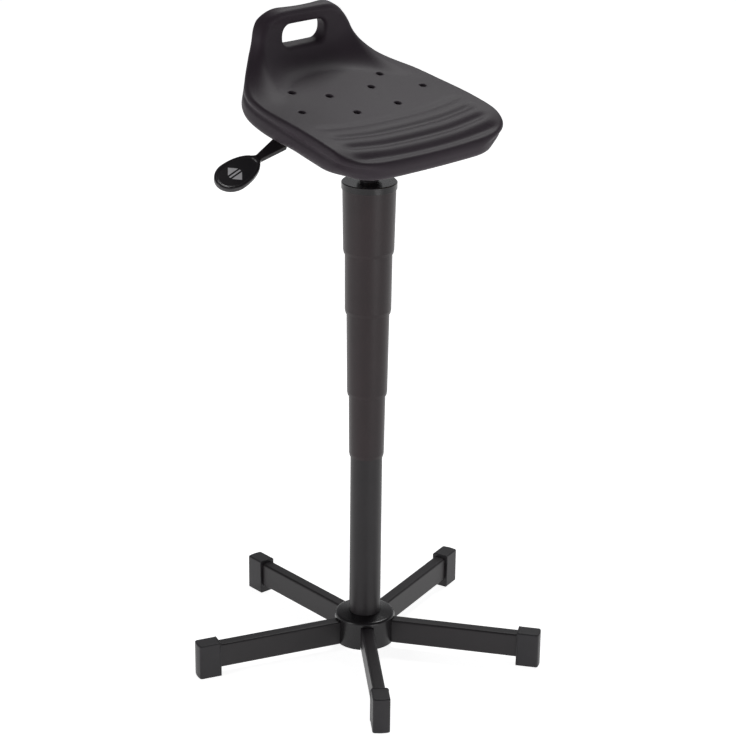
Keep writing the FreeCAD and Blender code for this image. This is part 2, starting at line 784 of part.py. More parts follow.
def bolt_places():
    """The four bolts' places, in the seat's frame."""
    return [(f"{across} * bolt_x", f"{along} * bolt_y") for across in (-1, 1) for along in (-1, 1)]


plate_bottom = "(-pan_thickness - plate_thickness)"
plate = on_seat(new_body("seat_plate"))
plate_plan = sketch_on(plate, "XY_Plane", "Plan", ("0", "0", plate_bottom))
rectangle(plate_plan, "-plate_half_width", "plate_half_width",
          "-plate_half_depth", "plate_half_depth", "plate_corner_radius")
for x, y in bolt_places():
    round_hole(plate_plan, x, y, "bolt_hole_radius")
pad(plate, plate_plan, "plate_thickness")

board = on_seat(new_body("insert_board"))
board_plan = sketch_on(board, "XY_Plane", "Plan", ("0", "0", "-pan_thickness"))
rectangle(board_plan, "-board_half_width", "board_half_width",
          "-board_front", "board_back", "board_corner_radius")
for x, y in bolt_places():
    round_hole(board_plan, x, y, "nut_radius")
pad(board, board_plan, "board_thickness")


def group_of_four(label, parts):
    """Four alike pieces at the bolts' places, each made of cylinders (radius, bore, low, length)."""
    pieces = []
    for x, y in bolt_places():
        solids = []
        for radius, hole, low, length in parts:
            outer = doc.addObject("Part::Cylinder", f"{label}_outer")
            bind(outer, "Radius", radius)
            bind(outer, "Height", length)
            place(outer, x, y, low)
            if hole:
                inner = doc.addObject("Part::Cylinder", f"{label}_bore")
                bind(inner, "Radius", hole)
                bind(inner, "Height", length)
                place(inner, x, y, low)
                drilled = doc.addObject("Part::Cut", f"{label}_ring")
                drilled.Base = outer
                drilled.Tool = inner
                outer = drilled
            solids.append(outer)
        if len(solids) > 1:
            joined = doc.addObject("Part::MultiFuse", f"{label}_piece")
            joined.Shapes = solids
            joined.Refine = True
            solids = [joined]
        pieces += solids
    group = as_node(doc.addObject("Part::Compound", label), label)
    group.Links = pieces
    return on_seat(group)


washer_bottom = f"({plate_bottom} - bolt_washer_thickness)"
group_of_four("insert_nuts", [("nut_radius", "bolt_radius", "-pan_thickness", "nut_length")])
group_of_four("bolt_washers", [
    ("bolt_washer_radius", "bolt_hole_radius", washer_bottom, "bolt_washer_thickness"),
])
group_of_four("seat_bolts", [
    ("bolt_head_radius", None, f"{washer_bottom} - bolt_head_height", "bolt_head_height"),
    ("bolt_radius", None, washer_bottom, "bolt_washer_thickness + plate_thickness + bolt_reach"),
])

# Seat of one moulding: a flat pan, a rolled front with four grooves, and a curved back with a grip

seat = on_seat(new_body("seat"))


def block_of_pan():
    """Plan of the whole seat, raised to the top of the back."""
    plan = sketch_on(seat, "XY_Plane", "Plan", ("0", "0", "-pan_thickness"))
    outline(plan, [
        ("-front_half_width", "-seat_front"),
        ("front_half_width", "-seat_front"),
        ("back_half_width", "seat_back"),
        ("-back_half_width", "seat_back"),
    ])
    pad(seat, plan, "pan_thickness + handle_height")
    for x, y, radius in (("front_half_width", "-seat_front", "front_corner_radius"),
                         ("back_half_width", "seat_back", "back_corner_radius")):
        round_edges(seat, radius, lambda edge: upright_at(x, y)(edge) or upright_at(f"-{x}", y)(edge))


def shape_of_back():
    """Cuts the bell outline of the back, as seen from the front."""
    sky = "handle_height + 50"
    far = "back_half_width + 50"
    bell = sketch_on(seat, "XZ_Plane", "BellOutline")
    outline(bell, [
        ("-handle_top_half_width", "handle_height", "handle_top_radius"),
        ("-handle_waist_half_width", "handle_waist_height", "handle_waist_radius"),
        ("-handle_foot_half_width", "0", "handle_foot_radius"),
        (f"-({far})", "0"),
        (f"-({far})", sky),
        (far, sky),
        (far, "0"),
        ("handle_foot_half_width", "0", "handle_foot_radius"),
        ("handle_waist_half_width", "handle_waist_height", "handle_waist_radius"),
        ("handle_top_half_width", "handle_height", "handle_top_radius"),
    ])
    pocket(seat, bell, "3 * seat_front + 3 * seat_back", both_ways=True)


def hollow_for_sitter():
    """Turns out the space over the pan, so that the back curves up out of it."""
    hollow = sketch_on(seat, "YZ_Plane", "Hollow", ("-back_curve_centre", "0", "0"))
    outline(hollow, [
        ("0", "0"),
        ("back_curve_radius", "0", "back_fillet_radius"),
        ("back_curve_radius", "handle_height + 60"),
        ("0", "handle_height + 60"),
    ])
    spin(seat, "PartDesign::Groove", hollow)


def roll_of_front():
    """Rolls the front edge down under the thighs."""
    roll = sketch_on(seat, "YZ_Plane", "FrontRoll")
    outline(roll, [
        ("-roll_corner / 3", "0"),
        ("-roll_corner / 3", "40"),
        ("-seat_front - 60", "40"),
        ("-seat_front - 60", "-pan_thickness - 20"),
        ("-seat_front", "-pan_thickness - 20"),
        ("-seat_front", "-nose_drop", "nose_radius"),
        ("-roll_corner", "0", "roll_radius"),
    ])
    pocket(seat, roll, "3 * back_half_width", both_ways=True)


def is_of_hollow(face):
    """A face turned about the upright axis of the sitter's hollow."""
    centre = getattr(face.Surface, "Center", None)
    if centre is None:
        return False
    return abs(centre.x) < SAME_PLACE and abs(centre.y + figure_of("back_curve_centre")) < SAME_PLACE


def is_rim(edge):
    """An edge round the pan's top or the back's outside where two faces meet at a visible angle."""
    box = edge.BoundBox
    if box.ZMin < -0.75 * figure_of("pan_thickness"):
        return False
    across = max(abs(box.XMin), abs(box.XMax))
    on_pan = across < figure_of("groove_half_length") + SHORTEST_EDGE and box.ZMax < SHORTEST_EDGE / 2
    if on_pan and box.YMin > figure_of("nose_radius - seat_front"):
        return False
    if on_hole(edge):
        return False
    middle = edge.valueAt((edge.FirstParameter + edge.LastParameter) / 2)
    normals = []
    for face in seat.Tip.Shape.ancestorsOfType(edge, Part.Face):
        if is_of_hollow(face):
            return False
        normals.append(face.normalAt(*face.Surface.parameter(middle)))
    return len(normals) == 2 and math.degrees(normals[0].getAngle(normals[1])) > 8.0


def is_underside(edge):
    """An edge of the plan at the underside, outside the recess for the board."""
    box = edge.BoundBox
    outside = max(abs(box.XMin), abs(box.XMax)) > figure_of("board_half_width + 1")
    outside = outside or box.YMax > figure_of("board_back + 1") or box.YMin < figure_of("-board_front - 1")
    return outside and level_at("0 - pan_thickness")(edge)


def on_hole(edge):
    """An edge round either mouth of the grip hole."""
    box = edge.BoundBox
    across = max(abs(box.XMin), abs(box.XMax)) < figure_of("grip_width / 2") + SAME_PLACE
    low = box.ZMin > figure_of("grip_centre_height - grip_height / 2") - SAME_PLACE
    high = box.ZMax < figure_of("grip_centre_height + grip_height / 2") + SAME_PLACE
    return across and low and high and box.YMin > 0 and box.YLength < figure_of("grip_rim_radius + 3")


def grip_hole():
    """Hand hole through the back, with rounded rims."""
    grip = sketch_on(seat, "XZ_Plane", "GripHole")
    low = "grip_centre_height - grip_height / 2"
    high = "grip_centre_height + grip_height / 2"
    rectangle(grip, "-grip_width / 2", "grip_width / 2", low, high, "grip_corner_radius")
    pocket(seat, grip, "3 * seat_front + 3 * seat_back", both_ways=True)


def front_groove(index):
    """One shallow round groove across the rolled front."""
    along = f"(groove_first + {index} * groove_pitch)"
    turn = "atan(nose_drop / (seat_front - roll_corner))"
    past = f"max(0; {along} - roll_corner + roll_radius * tan({turn} / 2))"
    drop = f"(roll_radius - sqrt(roll_radius ^ 2 - ({past}) ^ 2))"
    depth = "groove_first_depth" if index == 0 else "groove_depth"
    middle = ("0", f"groove_radius - {depth} - {drop}", along)
    groove = sketch_on(seat, "XZ_Plane", f"Groove{index + 1}", middle)
    outline(groove, [
        ("-groove_half_length", "0"),
        ("-groove_half_length", "-groove_radius", "groove_end_radius"),
        ("groove_half_length", "-groove_radius", "groove_end_radius"),
        ("groove_half_length", "0"),
    ])
    spin(seat, "PartDesign::Groove", groove, "H_Axis")


def board_recess():
    """Room in the underside for the moulded-in board."""
    recess = sketch_on(seat, "XY_Plane", "BoardRecess", ("0", "0", "-pan_thickness"))
    rectangle(recess, "-board_half_width", "board_half_width",
              "-board_front", "board_back", "board_corner_radius")
    pocket(seat, recess, "board_thickness", back_to_front=True)


def vent_holes():
    """Eight holes down to the board, in pairs across the pan."""
    vents = sketch_on(seat, "XY_Plane", "VentHoles", ("0", "0", "board_thickness - pan_thickness"))
    for row in ("front", "side", "middle", "back"):
        for side in (-1, 1):
            round_hole(vents, f"{side} * vent_{row}_x", f"-vent_{row}_s", "vent_radius")
    pocket(seat, vents, "2 * pan_thickness", back_to_front=True)


block_of_pan()
shape_of_back()
hollow_for_sitter()
roll_of_front()
grip_hole()
board_recess()
vent_holes()
for index in range(FRONT_GROOVE_COUNT):
    front_groove(index)
round_edges(seat, "underside_radius", is_underside)
round_edges(seat, "rim_radius", is_rim)
round_edges(seat, "grip_rim_radius", on_hole)

# Height lever: a block that rocks on the pivot pin, a bent wire and a moulded paddle

block = new_body("lever_block")
block_side = sketch_on(block, "XZ_Plane", "Side")
tongue_bottom = f"{pin_top} + tongue_gap"
outline(block_side, [
    ("block_outer_x", "pivot_z - block_below_pivot", "pivot_radius"),
    ("block_inner_x", "pivot_z - block_below_pivot", "pivot_radius"),
    ("block_inner_x", tongue_bottom),
    ("tongue_tip_x", tongue_bottom),
    ("tongue_tip_x", f"{tongue_bottom} + tongue_thickness"),
    ("block_outer_x", "pivot_z + block_above_pivot"),
])
pad(block, block_side, "2 * block_half_width", both_ways=True)
pivot_bore = sketch_on(block, "XZ_Plane", "PivotBore")
round_hole(pivot_bore, "pivot_x", "pivot_z", "pivot_radius + running_gap")
pocket(block, pivot_bore, "3 * block_half_width", both_ways=True)
wire_bore = sketch_on(block, "YZ_Plane", "WireBore", ("0", "0", "block_outer_x"))
round_hole(wire_bore, "0", "wire_height", "wire_radius")
pocket(block, wire_bore, "wire_depth", back_to_front=True)


def cylinder_across(label, radius, low, length, hole=None):
    """Cylinder along Y on the pivot's axis, from a place along it."""
    def one(name, size):
        thing = doc.addObject("Part::Cylinder", name)
        bind(thing, "Radius", size)
        bind(thing, "Height", length)
        place(thing, "pivot_x", low, "pivot_z", "-90", (1, 0, 0))
        return thing
    outer = one(f"{label}_outer", radius)
    if not hole:
        return outer
    ring_cut = doc.addObject("Part::Cut", label)
    ring_cut.Base = outer
    ring_cut.Tool = one(f"{label}_bore", hole)
    return ring_cut


pin = doc.addObject("Part::MultiFuse", "PivotPin")
pin.Shapes = [
    cylinder_across("pivot_head", "pivot_head_radius",
                    "-housing_half_width - pivot_head_thickness", "pivot_head_thickness"),
    cylinder_across("pivot_shank", "pivot_radius",
                    "-housing_half_width", "2 * housing_half_width + pivot_end"),
]
pin.Refine = True
as_node(pin, "pivot_pin")
as_node(cylinder_across("pivot_clip_ring", "pivot_clip_radius", "housing_half_width + pivot_side_gap",
                        "pivot_clip_thickness", "pivot_radius"), "pivot_clip")


def lever_frame():
    """The paddle's own frame: X runs out along the lever and Z stands on the paddle's face."""
    neck = FreeCAD.Vector(figure_of("neck_x"), figure_of("neck_y"), figure_of("neck_z"))
    slope = FreeCAD.Rotation(180, figure_of("lever_slope_angle"), -figure_of("lever_twist_angle"))
    return FreeCAD.Placement(neck, slope)


def wire_path():
    """Corners of the wire, from inside the block to inside the paddle's arm."""
    def point(x, y, z):
        return FreeCAD.Vector(figure_of(x), figure_of(y), figure_of(z))
    inner = point("block_outer_x + wire_depth", "0", "wire_height")
    first = point("wire_first_bend_x", "0", "wire_height")
    frame = lever_frame()
    second = frame.multVec(FreeCAD.Vector(-figure_of("wire_run"), 0, 0))
    outer = frame.multVec(FreeCAD.Vector(-figure_of("wire_end"), 0, 0))
    return [inner, first, second, outer]


def bent_wire(corners, bend, radius):
    """Round wire along straight runs joined by tangent arcs."""
    edges = []
    start = corners[0]
    for before, corner, after in zip(corners, corners[1:], corners[2:]):
        back = (before - corner).normalize()
        ahead = (after - corner).normalize()
        half = back.getAngle(ahead) / 2
        reach = bend / math.tan(half)
        inward = (back + ahead).normalize()
        middle = corner + inward * (bend / math.sin(half) - bend)
        edges.append(Part.LineSegment(start, corner + back * reach).toShape())
        edges.append(Part.Arc(corner + back * reach, middle, corner + ahead * reach).toShape())
        start = corner + ahead * reach
    edges.append(Part.LineSegment(start, corners[-1]).toShape())
    spine = Part.Wire(edges)
    profile = Part.Wire(Part.Circle(corners[0], corners[1] - corners[0], radius).toShape())
    solid = spine.makePipeShell([profile], True, True)
    expected = math.pi * radius ** 2 * spine.Length
    if abs(solid.Volume - expected) > 0.01 * expected:
        raise RuntimeError("the wire's volume is not its section times its length")
    return solid


wire = doc.addObject("Part::Feature", "LeverWire")
wire.Shape = bent_wire(wire_path(), figure_of("wire_bend_radius"), figure_of("wire_radius"))
as_node(wire, "lever_wire")


def paddle_shape():
    """Egg-shaped paddle of two half ellipses, on an arm that widens towards the seat."""
    start = figure_of("paddle_start")
    widest = figure_of("paddle_widest")
    end = figure_of("paddle_end")
    half = figure_of("paddle_half_width")
    thick = figure_of("paddle_thickness")

    def half_ellipse(reach, towards):
        """Half of the egg, as an arc of an ellipse about its widest place."""
        across = FreeCAD.Vector(widest, half, 0)
        along = FreeCAD.Vector(widest + towards * reach, 0, 0)
        centre = FreeCAD.Vector(widest, 0, 0)
        major, minor = (along, across) if reach > half else (across, along)
        ellipse = Part.Ellipse(major, minor, centre)
        first = ellipse.parameter(across)
        last = ellipse.parameter(FreeCAD.Vector(widest, -half, 0))
        middle = ellipse.parameter(along)
        low, high = (first, last) if first < last else (last, first)
        if not low < middle < high:
            low, high = high, low + 2 * math.pi
        return Part.ArcOfEllipse(ellipse, low, high).toShape()

    rim = Part.Wire(Part.__sortEdges__([half_ellipse(widest - start, -1), half_ellipse(end - widest, 1)]))
    egg = Part.Face(rim).extrude(FreeCAD.Vector(0, 0, thick))
    egg.translate(FreeCAD.Vector(0, 0, -thick / 2))
    flat_edges = [edge for edge in egg.Edges if edge.BoundBox.ZLength < SAME_PLACE]
    egg = egg.makeFillet(figure_of("paddle_edge_radius"), flat_edges)
    root = figure_of("arm_root_half_width")
    neck = figure_of("arm_neck_half_width")
    length = figure_of("arm_length")
    inner_end = start + neck
    deep = figure_of("arm_thickness")
    plan = [(-length, -root), (0, -neck), (inner_end, -neck), (inner_end, neck), (0, neck), (-length, root)]
    points = [FreeCAD.Vector(x, y, -deep / 2) for x, y in plan]
    arm = Part.Face(Part.makePolygon(points + points[:1])).extrude(FreeCAD.Vector(0, 0, deep))

    def long_edge(edge):
        box = edge.BoundBox
        return box.ZLength < SAME_PLACE and box.XLength > SHORTEST_EDGE

    arm = arm.makeFillet(figure_of("arm_edge_radius"), [e for e in arm.Edges if long_edge(e)])
    whole = egg.fuse(arm).removeSplitter()
    channel_end = -figure_of("wire_end")
    bore_hole = Part.makeCylinder(figure_of("wire_radius"), length + channel_end,
                                  FreeCAD.Vector(channel_end, 0, 0), FreeCAD.Vector(-1, 0, 0))
    return whole.cut(bore_hole).Solids[0]


paddle = doc.addObject("Part::Feature", "LeverPaddle")
paddle.Shape = paddle_shape()
paddle.Placement = lever_frame()
as_node(paddle, "lever_paddle")

# Check every piece and write it

doc.recompute()
for thing in doc.Objects:
    if "Invalid" in thing.State or "Error" in thing.State:
        raise RuntimeError(f"{thing.Label} failed: {thing.State}")
os.makedirs("parts", exist_ok=True)
for thing in nodes:
    shape = thing.Shape
    if shape.isNull() or not shape.isValid():
        raise RuntimeError(f"{thing.Label} has no valid shape")
    print(f"{thing.Label}: {len(shape.Solids)} solid(s), {shape.Volume / 1000:.2f} cm3")
    shape.exportStep(f"parts/{thing.Label}.step")
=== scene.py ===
# %% [markdown]
# # Perch stool on a gas lift
#
# A perch stool is half a chair: you lean on its forward-sloping seat while you stand at a bench. This one has
# a seat moulded in one piece of foam with a hand hole in its raised back, a lever under the right thigh, a
# column hidden in telescopic sleeves, and a star base of five steel tubes.
#
# The measured solids of the stool come in first and stay where they are. Everything below only dresses them:
# materials for the pieces that already have the right shape, and new meshes for those that a machinist's
# solid cannot show well, such as the soft seat.

import json
import math

import bpy
import numpy as np
from mathutils import Matrix, Vector


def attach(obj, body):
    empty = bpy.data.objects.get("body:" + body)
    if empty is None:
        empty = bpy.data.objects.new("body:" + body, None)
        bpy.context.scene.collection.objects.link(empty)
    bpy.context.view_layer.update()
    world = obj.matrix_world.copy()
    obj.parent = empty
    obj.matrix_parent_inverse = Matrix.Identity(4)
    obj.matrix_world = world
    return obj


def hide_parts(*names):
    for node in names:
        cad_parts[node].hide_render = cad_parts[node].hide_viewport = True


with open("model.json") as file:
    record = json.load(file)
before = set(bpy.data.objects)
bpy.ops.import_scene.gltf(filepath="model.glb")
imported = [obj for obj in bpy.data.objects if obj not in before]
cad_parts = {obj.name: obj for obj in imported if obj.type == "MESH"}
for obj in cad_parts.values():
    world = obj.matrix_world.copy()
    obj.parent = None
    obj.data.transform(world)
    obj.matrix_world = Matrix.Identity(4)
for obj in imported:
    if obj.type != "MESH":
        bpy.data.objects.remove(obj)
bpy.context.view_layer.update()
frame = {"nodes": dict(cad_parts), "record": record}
nodes = frame["nodes"]

# %% [markdown]
# ## Camera
#
# The photograph was taken with a long lens from the front left, a little above the seat. A long lens keeps
# upright edges nearly parallel. The camera is placed: first the direction in which it looks, then the
# two directions across the picture, which a small roll turns together. Three such directions are the columns
# of a rotation matrix, which avoids guessing at Euler angles.

# %% Camera
CAMERA_AT = Vector((-2.2464, -2.3578, 1.7318))
LOOKS_AT = Vector((0.00073, -0.00070, 0.47931))
CAMERA_ROLL = math.radians(0.639)
FOCAL_LENGTH = 110.41
SENSOR_WIDTH = 36.0

camera_data = bpy.data.cameras.new("photo_camera")
camera_data.lens = FOCAL_LENGTH
camera_data.sensor_width = SENSOR_WIDTH
camera_data.clip_end = 60.0
camera = bpy.data.objects.new("photo_camera", camera_data)
bpy.context.scene.collection.objects.link(camera)

forward = (LOOKS_AT - CAMERA_AT).normalized()
level_right = forward.cross(Vector((0, 0, 1))).normalized()
level_up = level_right.cross(forward)
right = level_right * math.cos(CAMERA_ROLL) + level_up * math.sin(CAMERA_ROLL)
up = right.cross(forward)
camera.matrix_world = Matrix.Translation(CAMERA_AT) @ Matrix((right, up, -forward)).transposed().to_4x4()
bpy.context.scene.camera = camera
print("camera looks down by", round(math.degrees(math.asin(-forward.z)), 1), "degrees")

# %% [markdown]
# ## Node maths
#
# A material in Blender is a graph of nodes, and even `a * b + c` takes two of them. Writing the graph out
# link by link hides the thought behind it, so this class wraps one output socket and lets Python's own
# operators add the Math nodes. The reflected forms are there so that `1 - mask` works as well as `mask - 1`.

# %% Wire: a number or vector on its way through a node tree
class Wire:
    """One output socket of a node tree that Python's operators can work with."""

    def __init__(self, maker, socket):
        self.maker = maker
        self.socket = socket

    def maths(self, operation, *values):
        return self.maker.node("ShaderNodeMath", {"operation": operation}, dict(enumerate(values)))[0]

    def __add__(self, other):
        return self.maths("ADD", self, other)

    def __radd__(self, other):
        return self.maths("ADD", other, self)

    def __sub__(self, other):
        return self.maths("SUBTRACT", self, other)

    def __rsub__(self, other):
        return self.maths("SUBTRACT", other, self)

    def __mul__(self, other):
        return self.maths("MULTIPLY", self, other)

    def __rmul__(self, other):
        return self.maths("MULTIPLY", other, self)

    def __truediv__(self, other):
        return self.maths("DIVIDE", self, other)

    def __rtruediv__(self, other):
        return self.maths("DIVIDE", other, self)

    def __pow__(self, other):
        return self.maths("POWER", self, other)

    def __rpow__(self, other):
        return self.maths("POWER", other, self)

    def __abs__(self):
        return self.maths("ABSOLUTE", self)

    def most(self, other):
        return self.maths("MAXIMUM", self, other)

    def between(self, low, high, first=0.0, last=1.0):
        """The first value below low, the last above high, and a soft step in between."""
        return self.maker.node("ShaderNodeMapRange", {"interpolation_type": "SMOOTHSTEP"}, {
            "Value": self, "From Min": low, "From Max": high, "To Min": first, "To Max": last})["Result"]


# %% [markdown]
# Every node of this file comes from one method, `Maker.node`. It takes the node's type, its settings, and
# what goes into its sockets: numbers, or wires from other nodes. It serves all three kinds of tree that
# follow, of materials, of the world and of Geometry Nodes.

# %% Maker: adds nodes to one tree
class Maker:
    """A node tree under construction."""

    def __init__(self, tree):
        self.tree = tree
        tree.nodes.clear()

    def node(self, kind, settings=None, feeds=None):
        """Adds a node, sets it, feeds its inputs, and returns its outputs as wires by name and number."""
        made = self.tree.nodes.new(kind)
        for key, value in (settings or {}).items():
            setattr(made, key, value)
        for key, values in (feeds or {}).items():
            for value in values if isinstance(values, list) else [values]:
                if isinstance(value, Wire):
                    self.tree.links.new(value.socket, made.inputs[key])
                else:
                    made.inputs[key].default_value = value
        wires = [Wire(self, socket) for socket in made.outputs if socket.enabled]
        return {**{wire.socket.name: wire for wire in wires}, **dict(enumerate(wires))}

    def vector(self, x=0.0, y=0.0, z=0.0):
        return self.node("ShaderNodeCombineXYZ", feeds={0: x, 1: y, 2: z})["Vector"]


# %% Recipe: one material
class Recipe(Maker):
    """A material under construction, with the shader that ends it."""

    def __init__(self, name, **constants):
        self.material = bpy.data.materials.new(name)
        self.material.use_nodes = True
        super().__init__(self.material.node_tree)
        self.surface = self.node("ShaderNodeBsdfPrincipled")[0]
        self.shader = self.surface.socket.node
        self.end = self.tree.nodes.new("ShaderNodeOutputMaterial")
        self.show(self.surface)
        for key, value in constants.items():
            self.shader.inputs[key.replace("_", " ").title().replace("Ior", "IOR")].default_value = value

    def show(self, surface):
        """Makes this shader the one that the material ends in."""
        self.tree.links.new(surface.socket, self.end.inputs["Surface"])

    def place(self):
        """Where on the object a point of the surface is, in metres from the stool's own origin."""
        return self.node("ShaderNodeTexCoord")["Object"]

    def along(self, vector):
        """The three coordinates of a vector, each as a wire."""
        parts = self.node("ShaderNodeSeparateXYZ", feeds={0: vector})
        return parts["X"], parts["Y"], parts["Z"]

    def noise(self, grains, detail=2.0, roughness=0.5, where=None):
        """Soft random values from 0 to 1, with this many grains to the metre."""
        return self.node("ShaderNodeTexNoise", {"noise_dimensions": "3D"}, {
            "Vector": where or self.place(), "Scale": grains, "Detail": detail, "Roughness": roughness})[0]

    def pebbles(self, grains, smooth):
        """Distance to the nearest of scattered seeds: rounded cells, this many to the metre."""
        return self.node("ShaderNodeTexVoronoi", {"feature": "SMOOTH_F1"}, {
            "Vector": self.place(), "Scale": grains, "Smoothness": smooth})["Distance"]

    def blend(self, mask, first, second):
        """First colour where the mask is 0, second where it is 1."""
        return self.node("ShaderNodeMix", {"data_type": "RGBA"}, {0: mask, 6: first, 7: second})["Result"]

    def feed(self, socket, wire):
        self.tree.links.new(wire.socket, self.shader.inputs[socket])

    def bump(self, height, distance):
        """Tilts the light as if the surface rose by this distance, in metres, where the height is 1."""
        bumped = self.node("ShaderNodeBump", feeds={"Height": height, "Distance": distance})
        self.feed("Normal", bumped["Normal"])


# %% Colours as they are typed into a paint program
def shade(red, green, blue):
    """A colour from 0 to 255, made linear for the renderer."""
    def linear(part):
        part /= 255.0
        return part / 12.92 if part <= 0.04045 else ((part + 0.055) / 1.055) ** 2.4
    return (linear(red), linear(green), linear(blue), 1.0)


print("mid grey is", [round(part, 3) for part in shade(128, 128, 128)])

# %% [markdown]
# ## The seat as a field of distances
#
# The seat is one soft moulding: a pan, a rolled front with four shallow grooves, and a back that sweeps up
# and has a hand hole. Modelling such a form face by face makes every blend between two surfaces a fight with
# the topology. Here each simple form is written as a distance instead: how far a point is outside it, and
# negative inside. Two forms then join with a smooth `min`, and one is cut by another with a smooth `max`,
# and the radius of the fillet is just a number. At the end a mesh is drawn where the distance is zero.
#
# All of it happens in the seat's own frame, which is tilted forward: x across, y backwards, z out of the pan.

# %% Sizes of the seat, in metres
MM = 0.001
SEAT_TILT = math.radians(12.62)
SEAT_HEIGHT = 899.2 * MM
FRONT, BACK = 160.0 * MM, 176.0 * MM
FRONT_BOW_RADIUS = 1.15
seat_frame = Matrix.Translation((0, 0, SEAT_HEIGHT)) @ Matrix.Rotation(SEAT_TILT, 4, "X")
print("the seat leans forward by", round(math.degrees(SEAT_TILT), 1), "degrees")


# %% Smooth ways to join and cut
def join(first, second, radius):
    """Union of two distances, with a fillet of this radius in the inner corner."""
    near = np.hypot(np.maximum(radius - first, 0), np.maximum(radius - second, 0))
    return np.maximum(radius, np.minimum(first, second)) - near


def common(first, second, radius):
    """Intersection of two distances, with the outer corner rounded to this radius."""
    near = np.hypot(np.maximum(radius + first, 0), np.maximum(radius + second, 0))
    return np.minimum(-radius, np.maximum(first, second)) + near


def step(value, low, high):
    """0 below low, 1 above high, and a soft step between."""
    share = np.clip((value - low) / (high - low), 0, 1)
    return share * share * (3 - 2 * share)


def ridge(value, width):
    """1 at zero, fading smoothly to nothing about two widths away."""
    return np.exp(-(value / width) ** 2)


def mixed(first, last, share):
    """The first value where the share is 0, the last where it is 1."""
    return first + (last - first) * share


print("a 10 mm fillet fills an inner corner by", round(-1000 * float(join(0.0, 0.0, 10 * MM)), 1), "mm")

# %% [markdown]
# ### Outlines
#
# Seen from above, and again from the front, the seat is an outline of a few straight sides with large round
# corners. The distance to it is the largest of the distances to its sides, except beside a corner, where it
# is the distance to the corner's own circle. The holes are rectangles with round corners or plain circles.


# %% Outlines from straight sides and round corners
def convex(u, v, sides, corners):
    """Distance to a convex outline. A side is (point, outward normal); a corner is (centre, radius, the
    normals of the two sides that it joins, in anticlockwise order)."""
    distance = np.full(np.broadcast(u, v).shape, -1.0)
    for point, normal in sides:
        distance = np.maximum(distance, (u - point[0]) * normal[0] + (v - point[1]) * normal[1])
    for centre, radius, first, last in corners:
        du, dv = u - centre[0], v - centre[1]
        inside = (first[0] * dv - first[1] * du >= 0) & (du * last[1] - dv * last[0] >= 0)
        distance = np.where(inside, np.hypot(du, dv) - radius, distance)
    return distance


def rounded(corner, before, after, radius):
    """Centre of a round corner, and the outward normals of its two sides, from three anticlockwise points."""
    a, b, c = (Vector(p).to_2d() for p in (before, corner, after))
    arriving, leaving = (b - a).normalized(), (c - b).normalized()
    first, last = Vector((arriving.y, -arriving.x)), Vector((leaving.y, -leaving.x))
    reach = radius / math.cos(first.angle(last) / 2)
    centre = b - (first + last).normalized() * reach
    return (tuple(centre), radius, tuple(first), tuple(last))


def oblong(u, v, half_u, half_v, corner):
    """Distance to a rectangle about the origin with round corners."""
    du, dv = np.abs(u) - half_u + corner, np.abs(v) - half_v + corner
    return np.hypot(np.maximum(du, 0), np.maximum(dv, 0)) + np.minimum(np.maximum(du, dv), 0) - corner


beside = oblong(12 * MM, 0.0, 10 * MM, 10 * MM, 3 * MM)
print("12 mm from the middle of a 20 mm square:", round(float(beside) * 1000, 1), "mm outside")

# %% [markdown]
# ### Rolled front
#
# The flat of the pan turns down over an arc of large radius and then runs straight to the front edge, so that
# no edge presses on the thighs. Four shallow furrows cross it and keep the sitter from sliding. They get
# deeper towards the edge and bow as it does. Beside the middle of the pan the foam rises to two low cheeks.

# %% Rolled front
ROLL_CORNER, ROLL_RADIUS, NOSE_DROP = 109.0 * MM, 236.0 * MM, 17.2 * MM
ROLL_SLOPE = math.atan(NOSE_DROP / (FRONT - ROLL_CORNER))
ROLL_START = ROLL_CORNER - ROLL_RADIUS * math.tan(ROLL_SLOPE / 2)


def front_fall(y):
    """Drop of the rolled front below the flat of the pan; the limit keeps the root real further out."""
    along = np.clip(-y - ROLL_START, 0, 0.6 * ROLL_RADIUS)
    return ROLL_RADIUS - np.sqrt(ROLL_RADIUS ** 2 - along ** 2)


def rolled_top(y, z):
    """Distance above the pan's top without its furrows: first flat, then an arc, then a slope."""
    ahead = -y - ROLL_START
    arc = np.hypot(ahead, z + ROLL_RADIUS) - ROLL_RADIUS
    slope = (-y - ROLL_CORNER) * math.sin(ROLL_SLOPE) + z * math.cos(ROLL_SLOPE)
    on_arc = np.arctan2(ahead, z + ROLL_RADIUS) < ROLL_SLOPE
    return np.where(ahead < 0, z, np.where(on_arc, arc, slope))


print("front roll turns through", round(math.degrees(ROLL_SLOPE), 1), "degrees")

# %% Furrows and cheeks
GROOVES = [(54 * MM, 1.4 * MM), (83 * MM, 3.0 * MM), (110 * MM, 3.6 * MM), (135 * MM, 3.6 * MM)]
GROOVE_WIDTH, GROOVE_FADES, GROOVE_GONE = 7.0 * MM, 124.0 * MM, 154.0 * MM
CHEEK_RISE = 4.5 * MM


def pan_top(x, y, z):
    """Distance above the pan's top, with its furrows and its low cheeks."""
    across, ahead = np.abs(x), -y
    furrowed = 1 - step(across, GROOVE_FADES, GROOVE_GONE)
    along_bow = ahead + x * x / (2 * FRONT_BOW_RADIUS)
    top = rolled_top(y, z)
    for place, depth in GROOVES:
        top = top + furrowed * depth * ridge(along_bow - place, GROOVE_WIDTH)
    beside_middle, from_pan = step(across, 55 * MM, 160 * MM), step(ahead, -60 * MM, 50 * MM)
    before_edge = 1 - step(ahead, 95 * MM, 150 * MM)
    return top - CHEEK_RISE * beside_middle * from_pan * before_edge


print("furrows:", len(GROOVES), "and the deepest is", max(depth for place, depth in GROOVES) / MM, "mm")

